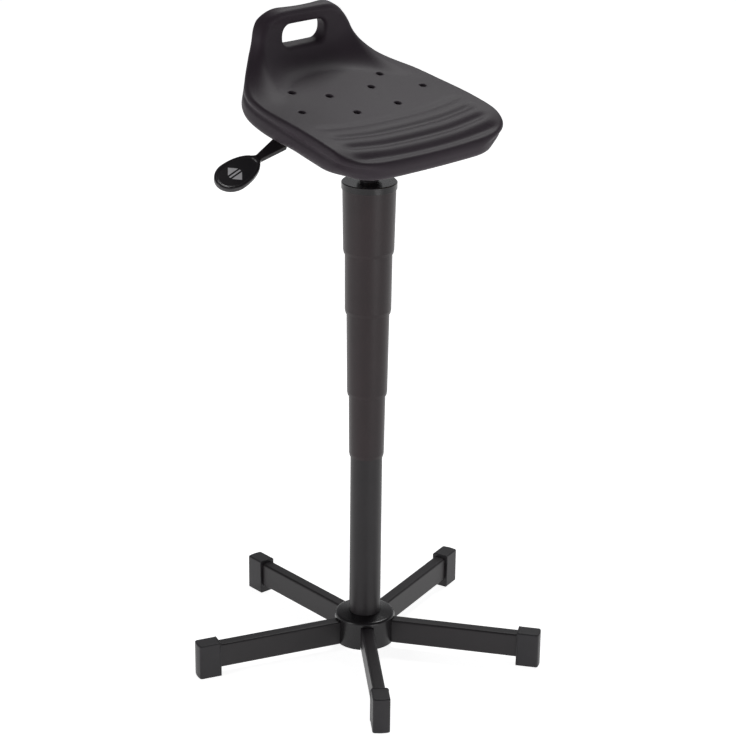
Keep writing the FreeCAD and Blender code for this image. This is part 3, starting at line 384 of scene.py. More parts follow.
# %% [markdown]
# ### Plan and edge
#
# The plan is symmetric, so its distance is worked out for one half from the absolute value of x. The front
# and the sides bow out a little, and the back is one long curve. Below the rim a fine groove runs round the
# sides, above a lip that swells out again: that is where the two halves of the mould meet, and it gives the
# edge in the photograph its dark line. It fades out at the middle of the front and at the back.

# %% Plan of the seat
FRONT_HALF, BACK_HALF = 176.0 * MM, 172.0 * MM
SIDE_BOW_RADIUS, WIDEST_AT = 1.3, -45.0 * MM
FRONT_CORNER, BACK_CORNER = 78 * MM, 142 * MM
FRONT_BLEND, SIDE_BLEND = 30 * MM, 10 * MM

plan_points = [(0, -FRONT), (FRONT_HALF, -FRONT), (BACK_HALF, BACK), (0, BACK)]
front_corner = rounded(plan_points[1], plan_points[0], plan_points[2], FRONT_CORNER)
back_corner = rounded(plan_points[2], plan_points[1], plan_points[3], BACK_CORNER)
plan_sides = [(plan_points[1], front_corner[2]), (plan_points[1], front_corner[3]),
              (plan_points[3], back_corner[3])]


def plan_distance(x, y):
    """Distance to the seat's outline as seen from above."""
    across = np.abs(x)
    flat = convex(across, y, plan_sides, [front_corner, back_corner])
    bowed = np.hypot(x, y + FRONT - FRONT_BOW_RADIUS) - FRONT_BOW_RADIUS
    swollen = np.hypot(across - FRONT_HALF + SIDE_BOW_RADIUS, y - WIDEST_AT) - SIDE_BOW_RADIUS
    return common(common(flat, bowed, FRONT_BLEND), swollen, SIDE_BLEND)


print("the plan is", round((FRONT + BACK) * 1000), "mm from front to back")

# %% Mould line and low corners of the edge
LINE_BELOW, LINE_WIDTH, LINE_DEPTH = 12.0 * MM, 3.6 * MM, 3.4 * MM
LINE_FOLLOWS = 0.8
LOW_CORNER = 8.0 * MM


def edge_inset(x, y, z):
    """How far the edge is drawn in, by the mould line and at the low corners of the front."""
    across, ahead = np.abs(x), -y
    on_sides = step(across, 100 * MM, 135 * MM) * (1 - step(y, 95 * MM, 140 * MM))
    line = ridge(z + LINE_BELOW + LINE_FOLLOWS * front_fall(y), LINE_WIDTH) * LINE_DEPTH
    at_corner = step(across, 85 * MM, 150 * MM) * step(ahead, 85 * MM, 140 * MM) * step(-z, 8 * MM, 34 * MM)
    return on_sides * line + at_corner * LOW_CORNER


print("the mould line follows", round(LINE_FOLLOWS * 100), "% of the front's fall")

# %% [markdown]
# ### Raised back
#
# The back stops the sitter from sliding off behind, and holds the hand hole. From the front it is a bell,
# which narrows from a wide foot to a round top. From above its inner side is hollowed to a circle. It leans
# backwards, at its ends more than in the middle, which makes the hollow open upwards like a shell.

# %% Raised back with its bell outline
BACK_TOP, BACK_TOP_HALF, BELL_CORNER = 85.5 * MM, 78.0 * MM, 54 * MM
WAIST_HALF, WAIST_HEIGHT, BELL_FOOT = 99.5 * MM, 28.0 * MM, -80 * MM
HOLLOW_RADIUS, HOLLOW_CENTRE, HOLLOW_EDGE = 200.0 * MM, -44.0 * MM, 9 * MM
BACK_FROM, BACK_FROM_EDGE = 40 * MM, 5 * MM
LEAN_MIDDLE, LEAN_SIDES, LEAN_HEIGHT = 7.0 * MM, 25.0 * MM, 68.0 * MM
LEAN_HALF, LEAN_MOST, LEAN_POWER = 90 * MM, 1.15, 1.2


def lean(x, z):
    """How far back the wall of the back stands at this height: it leans, and its ends lean the most."""
    share = np.minimum(np.abs(x) / LEAN_HALF, LEAN_MOST) ** 2
    return mixed(LEAN_MIDDLE, LEAN_SIDES, share) * (np.clip(z, 0, LEAN_HEIGHT) / LEAN_HEIGHT) ** LEAN_POWER


flank_slope = (WAIST_HALF - BACK_TOP_HALF) / (BACK_TOP - WAIST_HEIGHT)
foot_half = WAIST_HALF + flank_slope * (WAIST_HEIGHT - BELL_FOOT)
bell_points = [(foot_half, BELL_FOOT), (BACK_TOP_HALF, BACK_TOP), (0, BACK_TOP)]
bell_corner = rounded(bell_points[1], bell_points[0], bell_points[2], BELL_CORNER)
bell_sides = [(bell_points[0], bell_corner[2]), (bell_points[1], bell_corner[3])]


def back_distance(x, y, z):
    """The back alone: bell-shaped from the front, hollowed to a circle on the sitter's side."""
    bell = convex(np.abs(x), z, bell_sides, [bell_corner])
    hollow = HOLLOW_RADIUS - np.hypot(x, y - lean(x, z) - HOLLOW_CENTRE)
    return common(common(bell, hollow, HOLLOW_EDGE), BACK_FROM - y, BACK_FROM_EDGE)


print("the flanks of the bell lean in by", round(math.degrees(math.atan(flank_slope)), 1), "degrees")

# %% [markdown]
# ### Hand hole, vent holes and recess
#
# Fingers go through the hole in the back to pull or lift the stool. Eight round holes let air through the
# pan. They are set in mirrored pairs, so four places are enough. Under the pan the foam has a recess for the
# wooden board that carries the steel parts, a little larger than the board, so that the two don't touch.

# %% Hand hole and vent holes
GRIP_HEIGHT, GRIP_HALF, GRIP_HALF_HIGH, GRIP_CORNER = 46.2 * MM, 43.2 * MM, 16.8 * MM, 15.0 * MM
VENT_RADIUS = 4.8 * MM
VENTS = [(41.5 * MM, 15.9 * MM), (123.0 * MM, -14.8 * MM), (42.7 * MM, -44.6 * MM), (89.4 * MM, -76.0 * MM)]


def grip_distance(x, z):
    return oblong(x, z - GRIP_HEIGHT, GRIP_HALF, GRIP_HALF_HIGH, GRIP_CORNER)


def vent_distance(x, y):
    holes = [np.hypot(np.abs(x) - across, y + ahead) - VENT_RADIUS for across, ahead in VENTS]
    return np.minimum.reduce(holes)


print("the hand hole is", round(2 * GRIP_HALF / MM, 1), "by", round(2 * GRIP_HALF_HIGH / MM, 1), "mm")

# %% Recess for the board under the seat
BOARD_HALF, BOARD_FRONT, BOARD_BACK, BOARD_TOP = 135.0 * MM, 105.0 * MM, 100.0 * MM, 28.0 * MM
BOARD_CORNER, BOARD_GAP = 25 * MM, 0.4 * MM


def recess_distance(x, y, z):
    middle, half_long = (BOARD_BACK - BOARD_FRONT) / 2, (BOARD_BACK + BOARD_FRONT) / 2
    plan = oblong(x, y - middle, BOARD_HALF, half_long, BOARD_CORNER)
    return np.maximum(plan, z + BOARD_TOP) - BOARD_GAP


print("over the recess the foam is", round((BOARD_TOP - BOARD_GAP) / MM, 1), "mm thick")

# %% [markdown]
# ### The whole seat
#
# The pieces come together in the order in which a pattern maker would work: pan and back are joined with a
# wide fillet, the outline is cut, the underside is cut, and then come the holes. Each cut has its own
# radius, because the rim of the real seat is rounder at the front, and its underside at the front corners.

# %% The whole seat
PAN_THICKNESS, NOSE_THICKER = 38.0 * MM, 2.0 * MM
GRIP_EDGE, VENT_EDGE = 5.5 * MM, 1.6 * MM


def seat_distance(x, y, z):
    """Distance to the surface of the seat: negative in the foam."""
    across, ahead = np.abs(x), -y
    fillet = mixed(42 * MM, 50 * MM, step(across, 45 * MM, 120 * MM))
    rim = mixed(7 * MM, 10 * MM, step(ahead, 120 * MM, 150 * MM))
    under = mixed(10 * MM, 20 * MM, step(across, 115 * MM, 150 * MM) * step(ahead, -40 * MM, 30 * MM))
    thickness = PAN_THICKNESS + NOSE_THICKER * step(ahead, 112 * MM, 135 * MM)
    leaning = lean(x, z) * step(y, 20 * MM, 90 * MM)
    body = join(pan_top(x, y, z), back_distance(x, y, z), fillet)
    body = common(body, plan_distance(x, y - leaning) + edge_inset(x, y, z), rim)
    body = common(body, -z - thickness, under)
    body = common(body, -grip_distance(x, z), GRIP_EDGE)
    body = common(body, -vent_distance(x, y), VENT_EDGE)
    return np.maximum(body, -recess_distance(x, y, z))


over_pan = seat_distance(0.0, 0.0, 10 * MM)
print("10 mm over the middle of the pan:", round(float(over_pan) * 1000, 2), "mm outside")

# %% [markdown]
# ## From distances to a mesh
#
# Surface nets turn such a field into a mesh. The space is cut into small cubes. Where the sign changes inside
# a cube, the cube gets one vertex, in the middle of the places where its edges cross the surface; and every
# grid edge that crosses gives one four-sided face between the four cubes around it. The vertices then slide
# down the slope of the field onto the surface itself, so that the mesh is smooth although the cubes are not.

# %% One vertex for each cube that the surface crosses
def net_vertices(value):
    """For each cube: how many of its edges the surface crosses, and the sum of the crossing places."""
    shape = np.array(value.shape) - 1
    total = np.zeros(tuple(shape) + (3,))
    hits = np.zeros(tuple(shape))
    for start in [(i, j, k) for i in (0, 1) for j in (0, 1) for k in (0, 1)]:
        for axis in range(3):
            if start[axis]:
                continue
            end = tuple(1 if n == axis else start[n] for n in range(3))
            a = value[tuple(slice(s, s + n) for s, n in zip(start, shape))]
            b = value[tuple(slice(e, e + n) for e, n in zip(end, shape))]
            crosses = (a < 0) != (b < 0)
            share = np.where(crosses, a / np.where(crosses, a - b, 1.0), 0.0)
            for n in range(3):
                total[..., n] += crosses * (start[n] + (share if n == axis else 0.0))
            hits += crosses
    return total, hits


# %% One face for each grid edge that the surface crosses
def net_faces(value, number):
    """Four-sided faces between numbered cubes, turned so that they point out of the body."""
    shape = np.array(value.shape) - 1
    faces = []
    for axis in range(3):
        u, v = (axis + 1) % 3, (axis + 2) % 3
        here = [slice(1, n) for n in shape]
        here[axis] = slice(0, shape[axis])
        there = list(here)
        there[axis] = slice(1, shape[axis] + 1)
        a, b = value[tuple(here)], value[tuple(there)]
        edges = np.argwhere((a < 0) != (b < 0))
        leaving = a[tuple(edges.T)] < 0
        cube = edges + np.array([0 if n == axis else 1 for n in range(3)])
        ring = []
        for du, dv in ((0, 0), (1, 0), (1, 1), (0, 1)):
            around = cube.copy()
            around[:, u] -= du
            around[:, v] -= dv
            ring.append(number[tuple(around.T)])
        quads = np.stack(ring, axis=1)
        quads[~leaving] = quads[~leaving][:, ::-1]
        faces.append(quads)
    return np.concatenate(faces)


# %% Surface nets
NOT_ZERO = 1e-9


def surface_net(field, low, high, cell):
    """Vertices and four-sided faces where the field is zero, in the box from low to high."""
    axes = [np.arange(a, b + cell, cell) for a, b in zip(low, high)]
    x, y, z = np.meshgrid(*axes, indexing="ij", sparse=True)
    value = np.broadcast_to(field(x, y, z), [len(axis) for axis in axes]).astype(np.float64)
    value = np.where(np.abs(value) < NOT_ZERO, NOT_ZERO, value)
    total, hits = net_vertices(value)
    used = hits > 0
    number = np.full(hits.shape, -1)
    number[used] = np.arange(used.sum())
    vertices = np.array(low) + (np.argwhere(used) + total[used] / hits[used][:, None]) * cell
    return vertices, net_faces(value, number)


def ball(x, y, z):
    return np.sqrt(x * x + y * y + z * z) - 10 * MM


drawn_ball, _ = surface_net(ball, [-0.012] * 3, [0.012] * 3, 2 * MM)
print("a ball of 20 mm in cubes of 2 mm has", len(drawn_ball), "vertices")


# %% Vertices slide onto the surface
FLATTEST = 0.25


def settle(vertices, field, reach, rounds=4):
    """Slides each vertex along the field's slope until it lies on the surface, by at most reach a round.
    Where the field is flatter than the least slope, that one counts, so that no vertex flies off."""
    h = 0.05 * MM
    for _ in range(rounds):
        x, y, z = vertices.T
        value = field(x, y, z)
        slope = np.stack([(field(x + h, y, z) - field(x - h, y, z)) / (2 * h),
                          (field(x, y + h, z) - field(x, y - h, z)) / (2 * h),
                          (field(x, y, z + h) - field(x, y, z - h)) / (2 * h)], axis=1)
        steep = np.maximum((slope ** 2).sum(1), FLATTEST)
        move = -slope * (value / steep)[:, None]
        length = np.linalg.norm(move, axis=1, keepdims=True)
        vertices = vertices + move * np.minimum(1, reach / np.maximum(length, NOT_ZERO))
    return vertices


# %% Mesh from arrays, and an object from a field
def mesh_object(name, vertices, faces, smooth=True):
    """A new object at the origin whose mesh holds these vertices and equal-sized faces."""
    mesh = bpy.data.meshes.new(name)
    corners = faces.shape[1]
    mesh.vertices.add(len(vertices))
    mesh.vertices.foreach_set("co", np.asarray(vertices, np.float32).ravel())
    mesh.loops.add(faces.size)
    mesh.loops.foreach_set("vertex_index", np.asarray(faces, np.int32).ravel())
    mesh.polygons.add(len(faces))
    mesh.polygons.foreach_set("loop_start", np.arange(0, faces.size, corners, dtype=np.int32))
    mesh.update(calc_edges=True)
    mesh.validate()
    mesh.polygons.foreach_set("use_smooth", np.full(len(mesh.polygons), smooth))
    made = bpy.data.objects.new(name, mesh)
    bpy.context.scene.collection.objects.link(made)
    return made


def drawn(name, field, place, box, cell, reach):
    """An object whose surface is where the field, measured in the frame called place, is zero."""
    net, quads = surface_net(field, *box, cell)
    net = settle(net, field, reach)
    made = mesh_object(name, net @ np.array(place.to_3x3()).T + np.array(place.translation), quads)
    print(name, "has", len(net), "vertices and", 2 * len(quads), "triangles")
    return made


# %% [markdown]
# ### Drawing and fastening the seat
#
# Cubes of 2 mm are fine enough for the mould line. The finished piece is then told which body of the
# mechanism it rides on, which measured solid it takes the place of, and which finish it has.

# %% Draw the seat
SEAT_BOX = (-0.181, -0.169, -0.046), (0.181, 0.215, 0.100)
SEAT_CELL = 2.0 * MM
seat = drawn("seat_foam", seat_distance, seat_frame, SEAT_BOX, SEAT_CELL, reach=0.6 * MM)

# %% Fasten the seat to its body
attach(seat, "seat_carriage")
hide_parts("seat")
print("the seat rides with the carriage")

# %% [markdown]
# ## Finishes
#
# The stool is all dark, so its finishes differ by how they break up light and not by colour. Every pattern
# reads the object's own coordinates in metres, so that it stays on the surface when a piece moves, and its
# scale is counted in grains per metre.
#
# The foam has an integral skin: a fine leathery grain and a soft sheen, and a little unevenness that comes
# from the mould.


# %% Foam with a moulded skin
def foam_skin():
    """Integral-skin polyurethane: fine pebbled grain, satin, a little uneven from the mould."""
    recipe = Recipe("foam_skin", ior=1.45, specular_ior_level=0.3)
    grain = recipe.pebbles(900, smooth=0.6)
    fine = recipe.noise(2600, detail=2)
    clouds = recipe.noise(9, detail=3)
    recipe.feed("Base Color", recipe.blend(clouds.between(0.3, 0.7), shade(51, 43, 50), shade(57, 48, 56)))
    recipe.feed("Roughness", 0.46 + 0.10 * fine + 0.06 * clouds)
    recipe.bump(grain * 0.7 + fine * 0.3, 0.12 * MM)
    return recipe.material


finishes = {"seat_foam": foam_skin()}
print("first finish:", list(finishes))

# %% [markdown]
# ### Powder coat and moulded plastics
#
# Powder coat melts into a skin that is a little like orange peel, which shows in its gloss and hardly in its
# colour. Moulded plastic is smoother: the mould is spark-eroded to an even grain, and the plastic leaves faint
# marks where it flowed. Each moulded piece of the stool has its own gloss, so one function makes them all.


# %% Powder coat on steel
def powder_coat():
    """Satin black powder on steel: orange peel in the gloss, hardly any in the colour."""
    recipe = Recipe("powder_coat", ior=1.5, specular_ior_level=0.38)
    peel = recipe.noise(700, detail=2, roughness=0.4)
    specks = recipe.noise(4200, detail=1)
    patches = recipe.noise(14, detail=2)
    black = recipe.blend(patches.between(0.35, 0.65), shade(27, 23, 26), shade(33, 29, 32))
    recipe.feed("Base Color", black)
    recipe.feed("Roughness", 0.36 + 0.10 * specks + 0.05 * patches)
    recipe.bump(peel, 0.06 * MM)
    return recipe.material


finishes["black_coated_steel"] = powder_coat()
print("finish of the legs:", finishes["black_coated_steel"].name)


# %% Moulded plastics
def moulded(name, dark, light, rough, grain=1500):
    """Injection-moulded plastic: an even spark-eroded grain and faint flow marks."""
    recipe = Recipe(name, ior=1.49, specular_ior_level=0.38)
    texture = recipe.noise(grain, detail=3, roughness=0.55)
    flow = recipe.noise(22, detail=2)
    recipe.feed("Base Color", recipe.blend(flow.between(0.3, 0.7), dark, light))
    recipe.feed("Roughness", rough + 0.08 * texture + 0.04 * flow)
    recipe.bump(texture, 0.04 * MM)
    return recipe.material


for slot, dark, light, rough, grain in (
        ("moulded_black", shade(27, 25, 27), shade(33, 31, 33), 0.20, 1500),
        ("sleeve_black", shade(38, 27, 30), shade(44, 32, 35), 0.34, 2400),
        ("foot_black", shade(38, 36, 39), shade(46, 44, 47), 0.42, 1500),
        ("lever_black", shade(22, 21, 23), shade(27, 26, 28), 0.30, 1500),
        ("guide_plastic", shade(226, 225, 218), shade(214, 212, 204), 0.36, 1500)):
    finishes[slot] = moulded(slot, dark, light, rough, grain)
print("finishes so far:", len(finishes))

# %% [markdown]
# ### Bright steel
#
# Rod, races and clips are turned and ground. The tool leaves fine rings, so the pattern reads the distance
# from the axis and the height in place of x, y and z: it is then the same all the way round.


# %% Bright steel, turned
def bright_steel():
    """Turned and ground steel: fine rings of tool marks seen as a streaky gloss."""
    recipe = Recipe("bright_steel", metallic=1.0)
    x, y, z = recipe.along(recipe.place())
    marks = recipe.noise(2600, detail=2, where=recipe.vector((x * x + y * y) ** 0.5, z))
    stains = recipe.noise(60, detail=3)
    steel = recipe.blend(stains.between(0.35, 0.7), shade(205, 205, 207), shade(186, 184, 182))
    recipe.feed("Base Color", steel)
    recipe.feed("Roughness", 0.24 + 0.12 * marks + 0.08 * stains)
    recipe.bump(marks, 0.01 * MM)
    return recipe.material


finishes["bright_steel"] = bright_steel()
print("finish of the rod:", finishes["bright_steel"].name)

# %% [markdown]
# ### Plywood and rubber
#
# These two are only seen from below. The board is birch plywood with long grain and dark lines of glue
# between its veneers, which run level with the tilted board. The rubber of the stop has a dull bloom.

# %% Plywood
VENEER = 1.25 * MM
GRAIN_STRETCH = 0.12
ABOVE_ZERO = 5.0


def plywood():
    """Birch plywood: long grain on the faces and dark glue lines along the edges."""
    recipe = Recipe("plywood", ior=1.45)
    x, y, z = recipe.along(recipe.place())
    grain = recipe.noise(420, detail=4, where=recipe.vector(x * GRAIN_STRETCH, y, z))
    tilted = z * math.cos(SEAT_TILT) - y * math.sin(SEAT_TILT)
    veneers = tilted.maths("PINGPONG", tilted + ABOVE_ZERO, VENEER)
    glue = 1 - (veneers * 1000).between(0.10, 0.28)
    wood = recipe.blend(grain.between(0.3, 0.75), shade(214, 186, 148), shade(178, 142, 100))
    recipe.feed("Base Color", recipe.blend(glue, wood, shade(120, 84, 52)))
    recipe.feed("Roughness", 0.62 + 0.15 * grain)
    recipe.bump(grain, 0.08 * MM)
    return recipe.material


finishes["board_wood"] = plywood()
print("veneers of", VENEER / MM, "mm")


# %% Rubber
def rubber():
    """Black rubber with a dull bloom."""
    recipe = Recipe("rubber", ior=1.52)
    bloom = recipe.noise(160, detail=4)
    recipe.feed("Base Color", recipe.blend(bloom.between(0.4, 0.7), shade(38, 38, 39), shade(56, 55, 54)))
    recipe.feed("Roughness", 0.62 + 0.2 * bloom)
    recipe.bump(bloom, 0.05 * MM)
    return recipe.material


finishes["bumper_rubber"] = rubber()
print("finish of the stop:", finishes["bumper_rubber"].name)

# %% [markdown]
# ### Finishes go onto the pieces
#
# The record of the stool says which material slot each measured piece belongs to, and every slot has one
# finish. The new seat takes the same one as the solid that it replaces.

# %% One material for each of the record's slots
slot_of = {part["node"]: part["material_slot"] for part in frame["record"]["subparts"]}
for name, node in nodes.items():
    node.data.materials.clear()
    node.data.materials.append(finishes[slot_of[name]])
seat.data.materials.append(finishes["seat_foam"])
print(len(finishes), "finishes on", len(nodes), "pieces")

# %% [markdown]
# ## Light and ground
#
# The photograph has the flat white ground of a catalogue. White must not come from strong lamps, which would
# wash out a dark object, so the floor and the world answer differently to a ray from the camera: there they
# glow white by themselves, and to the rays that light the stool they are plain surfaces in plain light. The
# world is brighter near the horizon than overhead, so that upright faces get some light of their own.

# %% World
HORIZON, OVERHEAD = 0.20, 0.55
HORIZON_LIGHT, OVERHEAD_LIGHT = 0.60, 0.10

world = bpy.data.worlds.new("studio")
world.use_nodes = True
bpy.context.scene.world = world
sky = Maker(world.node_tree)
rays = sky.node("ShaderNodeLightPath")
height = sky.node("ShaderNodeSeparateXYZ", feeds={0: sky.node("ShaderNodeTexCoord")["Generated"]})["Z"]
light = height.between(HORIZON, OVERHEAD, HORIZON_LIGHT, OVERHEAD_LIGHT)
plain = sky.node("ShaderNodeBackground", feeds={"Color": (0.97, 0.98, 1.0, 1.0), "Strength": light})[0]
white = sky.node("ShaderNodeBackground", feeds={"Color": (1.0, 1.0, 1.0, 1.0), "Strength": 1.0})[0]
seen = rays["Is Camera Ray"].most(rays["Is Transmission Ray"])
either = sky.node("ShaderNodeMixShader", feeds={0: seen, 1: plain, 2: white})[0]
sky.node("ShaderNodeOutputWorld", feeds={"Surface": either})
print("the world has", len(sky.tree.nodes), "nodes")

# %% [markdown]
# ### Floor
#
# To the camera and in reflections the floor adds a glow to its own shading. Its own shading stays in, and
# with it the stool's shadow.

# %% Floor that is white to the camera and keeps the shadow
FLOOR_HALF, FLOOR_GREY, FLOOR_GLOW = 14.0, 0.80, 0.86


def floor_white():
    recipe = Recipe("floor_white", roughness=0.9, base_color=(FLOOR_GREY, FLOOR_GREY, FLOOR_GREY, 1.0))
    rays = recipe.node("ShaderNodeLightPath")
    seen = rays["Is Camera Ray"].most(rays["Is Transmission Ray"]).most(rays["Is Glossy Ray"])
    glow = recipe.node("ShaderNodeEmission", feeds={"Color": (1, 1, 1, 1), "Strength": FLOOR_GLOW})[0]
    both = recipe.node("ShaderNodeAddShader", feeds={0: recipe.surface, 1: glow})[0]
    recipe.show(recipe.node("ShaderNodeMixShader", feeds={0: seen, 1: recipe.surface, 2: both})[0])
    return recipe.material


corners = np.array([(-1, -1, 0), (1, -1, 0), (1, 1, 0), (-1, 1, 0)]) * FLOOR_HALF
floor = mesh_object("floor", corners, np.array([[0, 1, 2, 3]]), smooth=False)
floor.data.materials.append(floor_white())
print("the floor is", 2 * FLOOR_HALF, "metres wide")

# %% [markdown]
# ### Lamps
#
# Three large soft lamps: one overhead from behind on the right, which draws the light edge of the back, a
# weak one from the left, and one low in front that keeps the column from sinking into black.


# %% Lamps
def softbox(name, at, towards, width, height, watts):
    """A flat rectangular lamp that faces a point."""
    lamp = bpy.data.lights.new(name, "AREA")
    lamp.shape = "RECTANGLE"
    lamp.size, lamp.size_y = width, height
    lamp.energy = watts
    holder = bpy.data.objects.new(name, lamp)
    bpy.context.scene.collection.objects.link(holder)
    holder.location = at
    holder.rotation_euler = (Vector(towards) - Vector(at)).to_track_quat("-Z", "Y").to_euler()


softbox("overhead", at=(1.9, 0.9, 3.2), towards=(0, 0, 0.7), width=1.6, height=0.9, watts=40)
softbox("left_side", at=(-3.2, 0.6, 1.5), towards=(0, 0, 0.6), width=0.7, height=1.8, watts=20)
softbox("low_front", at=(-0.4, -3.3, 0.3), towards=(0, 0, 0.9), width=1.4, height=0.5, watts=14)
bpy.context.scene.view_settings.view_transform = "Standard"

# %% [markdown]
# ## Lever paddle
#
# The paddle is a small egg of black plastic with a raised rim, on an arm that clips over the bent wire. It is
# drawn like the seat, from distances, in its own frame: u runs outwards along the lever, v across it, and w
# stands on its face.

# %% The paddle's frame and sizes
LEVER_NECK = Vector((-179.8, 45.0, 838.1)) * MM
LEVER_SLOPE, LEVER_TWIST = math.radians(19.63), math.radians(28.7)
outwards = Matrix.Rotation(math.pi, 4, "Z") @ Matrix.Rotation(LEVER_SLOPE, 4, "Y")
lever_frame = Matrix.Translation(LEVER_NECK) @ outwards @ Matrix.Rotation(-LEVER_TWIST, 4, "X")
EGG_START, EGG_WIDEST, EGG_END, EGG_HALF, EGG_FACE = 2 * MM, 52 * MM, 81.5 * MM, 24.8 * MM, 4.5 * MM
EGG_CORE, EGG_CORE_DEPTH, LEAST_SLOPE = 0.25, 8 * MM, 1e-6
DISH_DEPTH, DISH_FROM, DISH_TO, EGG_EDGE = 1.5 * MM, 2.6 * MM, 7.0 * MM, 2.4 * MM
ARM_LENGTH, ARM_OVERLAP, ARM_ROOT, ARM_NECK, ARM_DEEP = 46 * MM, 8 * MM, 12.6 * MM, 5.8 * MM, 5.0 * MM
ARM_EDGE, ARM_END_EDGE, NECK_FILLET = 3 * MM, 1 * MM, 4 * MM
WIRE_HOLE, WIRE_HOLE_END = 3.2 * MM, -8 * MM
print("the lever slopes down by", round(math.degrees(LEVER_SLOPE), 1), "degrees")


# %% The paddle as a field of distances
def egg_distance(u, v):
    """Distance to the egg outline, two half ellipses about the widest place, or one depth for its core."""
    reach = np.where(u < EGG_WIDEST, EGG_WIDEST - EGG_START, EGG_END - EGG_WIDEST)
    du = u - EGG_WIDEST
    size = np.hypot(du / reach, v / EGG_HALF)
    slope = np.maximum(np.hypot(du / reach ** 2, v / EGG_HALF ** 2), LEAST_SLOPE)
    return np.where(size < EGG_CORE, -EGG_CORE_DEPTH, (size - 1) * size / slope)


def paddle_distance(u, v, w):
    """Distance to the dished egg and its arm, with the hole that the wire goes into."""
    egg = egg_distance(u, v)
    dish = DISH_DEPTH * step(-egg, DISH_FROM, DISH_TO)
    plate = common(egg, np.abs(w) - EGG_FACE + dish, EGG_EDGE)
    half = mixed(ARM_NECK, ARM_ROOT, np.clip(-u / ARM_LENGTH, 0, 1))
    arm = common(np.abs(v) - half, np.abs(w) - ARM_DEEP, ARM_EDGE)
    ends = np.abs(u + (ARM_LENGTH - ARM_OVERLAP) / 2) - (ARM_LENGTH + ARM_OVERLAP) / 2
    whole = join(plate, common(arm, ends, ARM_END_EDGE), NECK_FILLET)
    return np.maximum(whole, np.minimum(WIRE_HOLE - np.hypot(v, w), WIRE_HOLE_END - u))


PADDLE_BOX = (-0.049, -0.028, -0.008), (0.085, 0.028, 0.008)
PADDLE_CELL = 0.8 * MM
paddle = drawn("lever_handle", paddle_distance, lever_frame, PADDLE_BOX, PADDLE_CELL, reach=0.3 * MM)
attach(paddle, "lever")
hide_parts("lever_paddle")

# %% [markdown]
# ### Sign on the paddle
#
# The sign says up and down with two arrows and a bar. It is no separate piece but printed, so it is part of
# the material: masks that are worked out from where a point lies in the paddle's own frame, and a third
# one that keeps the print on the upper face.

# %% Printed sign on the paddle
SIGN_AT, PRINT_EDGE = EGG_WIDEST - 4 * MM, 0.35 * MM
SIGN_HALF, BAR_HALF, ARROW_FOOT, ARROW_TIP, ARROW_SLOPE = 11 * MM, 1.5 * MM, 3.9 * MM, 15 * MM, 0.95


def printed_plastic():
    """Black plastic with a pale printed sign: an arrow up, a bar and an arrow down."""
    recipe = Recipe("lever_printed", ior=1.5)
    from_neck = recipe.node("ShaderNodeVectorMath", {"operation": "SUBTRACT"},
                            {0: recipe.place(), 1: tuple(LEVER_NECK)})[0]

    def measured(column):
        feeds = {0: from_neck, 1: tuple(lever_frame.to_3x3().col[column])}
        return recipe.node("ShaderNodeVectorMath", {"operation": "DOT_PRODUCT"}, feeds)["Value"]

    side, height, face = abs(measured(0) - SIGN_AT), abs(measured(1)), measured(2)
    bar = (1 - side.between(SIGN_HALF - PRINT_EDGE, SIGN_HALF)) * (
        1 - height.between(BAR_HALF - PRINT_EDGE, BAR_HALF))
    flanks = ((ARROW_TIP - height) * ARROW_SLOPE - side).between(0.0, PRINT_EDGE)
    arrows = flanks * height.between(ARROW_FOOT, ARROW_FOOT + PRINT_EDGE)
    printed = bar.most(arrows) * face.between(0.5 * MM, 1.0 * MM)
    grain = recipe.noise(1800, detail=3)
    black = recipe.blend(grain.between(0.3, 0.7), shade(33, 30, 33), shade(40, 37, 40))
    recipe.feed("Base Color", recipe.blend(printed, black, shade(214, 212, 214)))
    recipe.feed("Roughness", 0.26 + 0.08 * grain + 0.15 * printed)
    recipe.bump(grain, 0.03 * MM)
    return recipe.material


paddle.data.materials.append(printed_plastic())
print("the sign is", round(2 * ARROW_TIP / MM), "mm high")

# %% [markdown]
# ## What repeats: Geometry Nodes
#
# A tree of Geometry Nodes is a small machine that makes a form from a few named sizes. It suits whatever
# repeats, because one collar or bolt is described once and then set on points. The trees below end by making
# the copies real and giving them their material, and the result is stored as a plain mesh.


